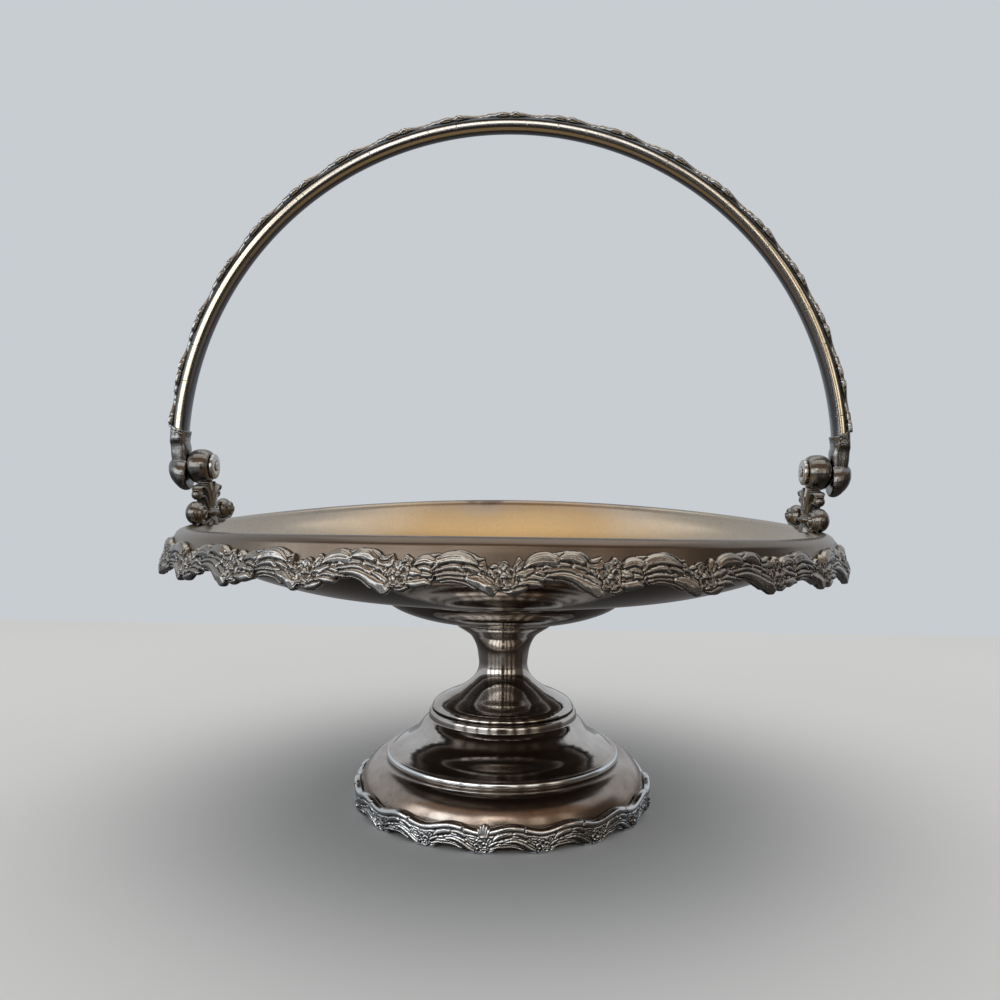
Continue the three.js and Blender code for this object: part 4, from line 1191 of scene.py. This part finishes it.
end_left = mirrored("handle_end_left_cast", end_right)
for end, node in ((end_right, "handle_end_right"), (end_left, "handle_end_left")):
    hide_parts(node)
    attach(end, "handle")


# The bow: a silver wire bent to a half circle, a blunt oval in section with a flat outer face.
# Hands have rubbed it bright; brown tarnish is left in streaks, and dark nicks go across it.


def bow_finish():
    """Rubbed plate, golden at the arms and greyer at the top; painted shade darkens its inner side,
    and tarnish with a painted shadow darkens it against the strip.
    """
    coat, place = new_coat("handle_silver")
    centre = (pivot_level + arch_rise) * MM
    x, z = coat.axis(place, 0), coat.axis(place, 2)
    turn = (z - centre).math("ARCTAN2", x)
    cloud = coat.noise(place, 45.0, 6.0, 0.65)
    streak = coat.node("TexNoise", {"noise_dimensions": "1D"}, {
        "W": turn * 90.0, "Scale": 1.0, "Detail": 4.0,
    })
    nick = coat.node("TexVoronoi", {"voronoi_dimensions": "1D", "feature": "F1"}, {
        "W": turn * 8.0, "Scale": 1.0,
    })
    nicked = coat.ramp(nick, 0.003, 0.011, 1.0, 0.0)
    worn_off = coat.ramp(coat.noise(place, 260.0, 2.0), 0.46, 0.54)
    marks = nicked * worn_off
    flat = coat.node("VectorMath", {"operation": "MULTIPLY"}, {0: place, 1: (1, 0, 1)})
    radius = coat.node("VectorMath", {"operation": "DISTANCE"}, {0: flat, 1: (0, 0, centre)}, out=1)
    stain = coat.ramp(cloud + (streak - 0.5) * 0.3, 0.45, 0.75, 0.0, 0.7)
    high = coat.ramp(z, 0.20, 0.25)
    rubbed = coat.mixed(high, (0.90, 0.79, 0.60), (0.54, 0.54, 0.53))
    tarnished = coat.mixed(high, (0.46, 0.36, 0.25), (0.30, 0.27, 0.24))
    toned = coat.mixed(stain, rubbed, tarnished)
    # Painted shade: the bow's inner side, which faces down at the top, is a dark cool grey.
    toned = coat.mixed(coat.ramp(radius, 0.1270, 0.1278, 1.0, 0.0), toned, (0.17, 0.175, 0.19))
    # Tarnish and a painted shadow: dark blue-grey under the strip's overhanging edge.
    toned = coat.mixed(coat.ramp(radius, 0.1286, 0.1291, 0.0, 0.95), toned, (0.045, 0.052, 0.058))
    colour = coat.mixed(marks * 0.85, toned, (0.06, 0.05, 0.04))
    return coat.plated(colour, stain * 0.14 + 0.16, 0.3, streak * 0.15 - marks)


def on_arch(angle, radius, across):
    """Points of the arch: how far round, how far from its centre, and how far to the back."""
    angle, radius, across = np.broadcast_arrays(angle, radius, across)
    level = pivot_level + arch_rise + radius * np.sin(angle)
    return np.stack([radius * np.cos(angle), across, level], -1) * MM


bow_start = math.asin((ferrule_height - 5.2 - arch_rise) / arch_middle)
shoulder = 2.0          # how far the bow's widest line lies under its flat face
bluntness = 0.72
flat_edge = 42          # the section's turn, in degrees, at the edges of the flat face
turns = np.radians(np.linspace(-flat_edge, 180 + flat_edge, 57))
rise = shoulder / math.sin(math.radians(flat_edge)) ** bluntness
deep = np.where(np.sin(turns) < 0, rise, bow_depth - shoulder)
across = -bow_width / 2 * blunted(np.cos(turns), bluntness)
radius = flat_radius - shoulder - deep * blunted(np.sin(turns), bluntness)
bend = np.linspace(bow_start, math.pi - bow_start, 220)
bow = skinned("handle_bow_bent", on_arch(bend[:, None], radius, across), capped=True)
bow.data.materials.append(bow_finish())
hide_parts("handle_bow")
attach(bow, "handle")


# The strip: a cast band of the rim's leaves and small flowers, made smaller and soldered on
# the bow's flat outer face, from one sleeve over the top to the other.

strip_crests = 18
strip_columns = 52      # of points, in each crest
strip_reach = 4.0       # how far a leaf may stand out to the side
strip_start = math.asin((ferrule_height - arch_rise) / (strip_inner + 0.1))
strip_length = (math.pi - 2 * strip_start) * (strip_inner + 1)
crest_length = strip_length / strip_crests
strip_leaves = relaid(
    first_arch, lambda x, y: (x * crest_length / rim_pitch, (y + 4.6) * 0.72), 0.7, 0.9
)
ys, relief, share = carved(
    strip_leaves, [((0.0, -0.5), 1.9)], crest_length, 4.4, -4.4, columns=strip_columns, rows=26
)
ys = np.clip(np.tile(ys, (strip_crests, 1)), -strip_reach, strip_reach)
relief = np.tile(relief, (strip_crests, 1))
swell = strip_thickness * (0.5 + 0.5 * np.sin(math.pi * share) ** 0.5)
face = strip_inner + swell + 0.45 + relief * 0.6
bend = np.linspace(strip_start, math.pi - strip_start, len(ys))
bottom = np.full((len(ys), 2), strip_inner)
strip = skinned(
    "handle_strip_cast",
    on_arch(bend[:, None], np.hstack([face, bottom]), np.hstack([ys, ys[:, [-1, 0]]])),
    capped=True,
)
worn(strip, 10, 0.14)
strip.data.materials.append(border_silver)
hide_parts("handle_strip")
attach(strip, "handle")
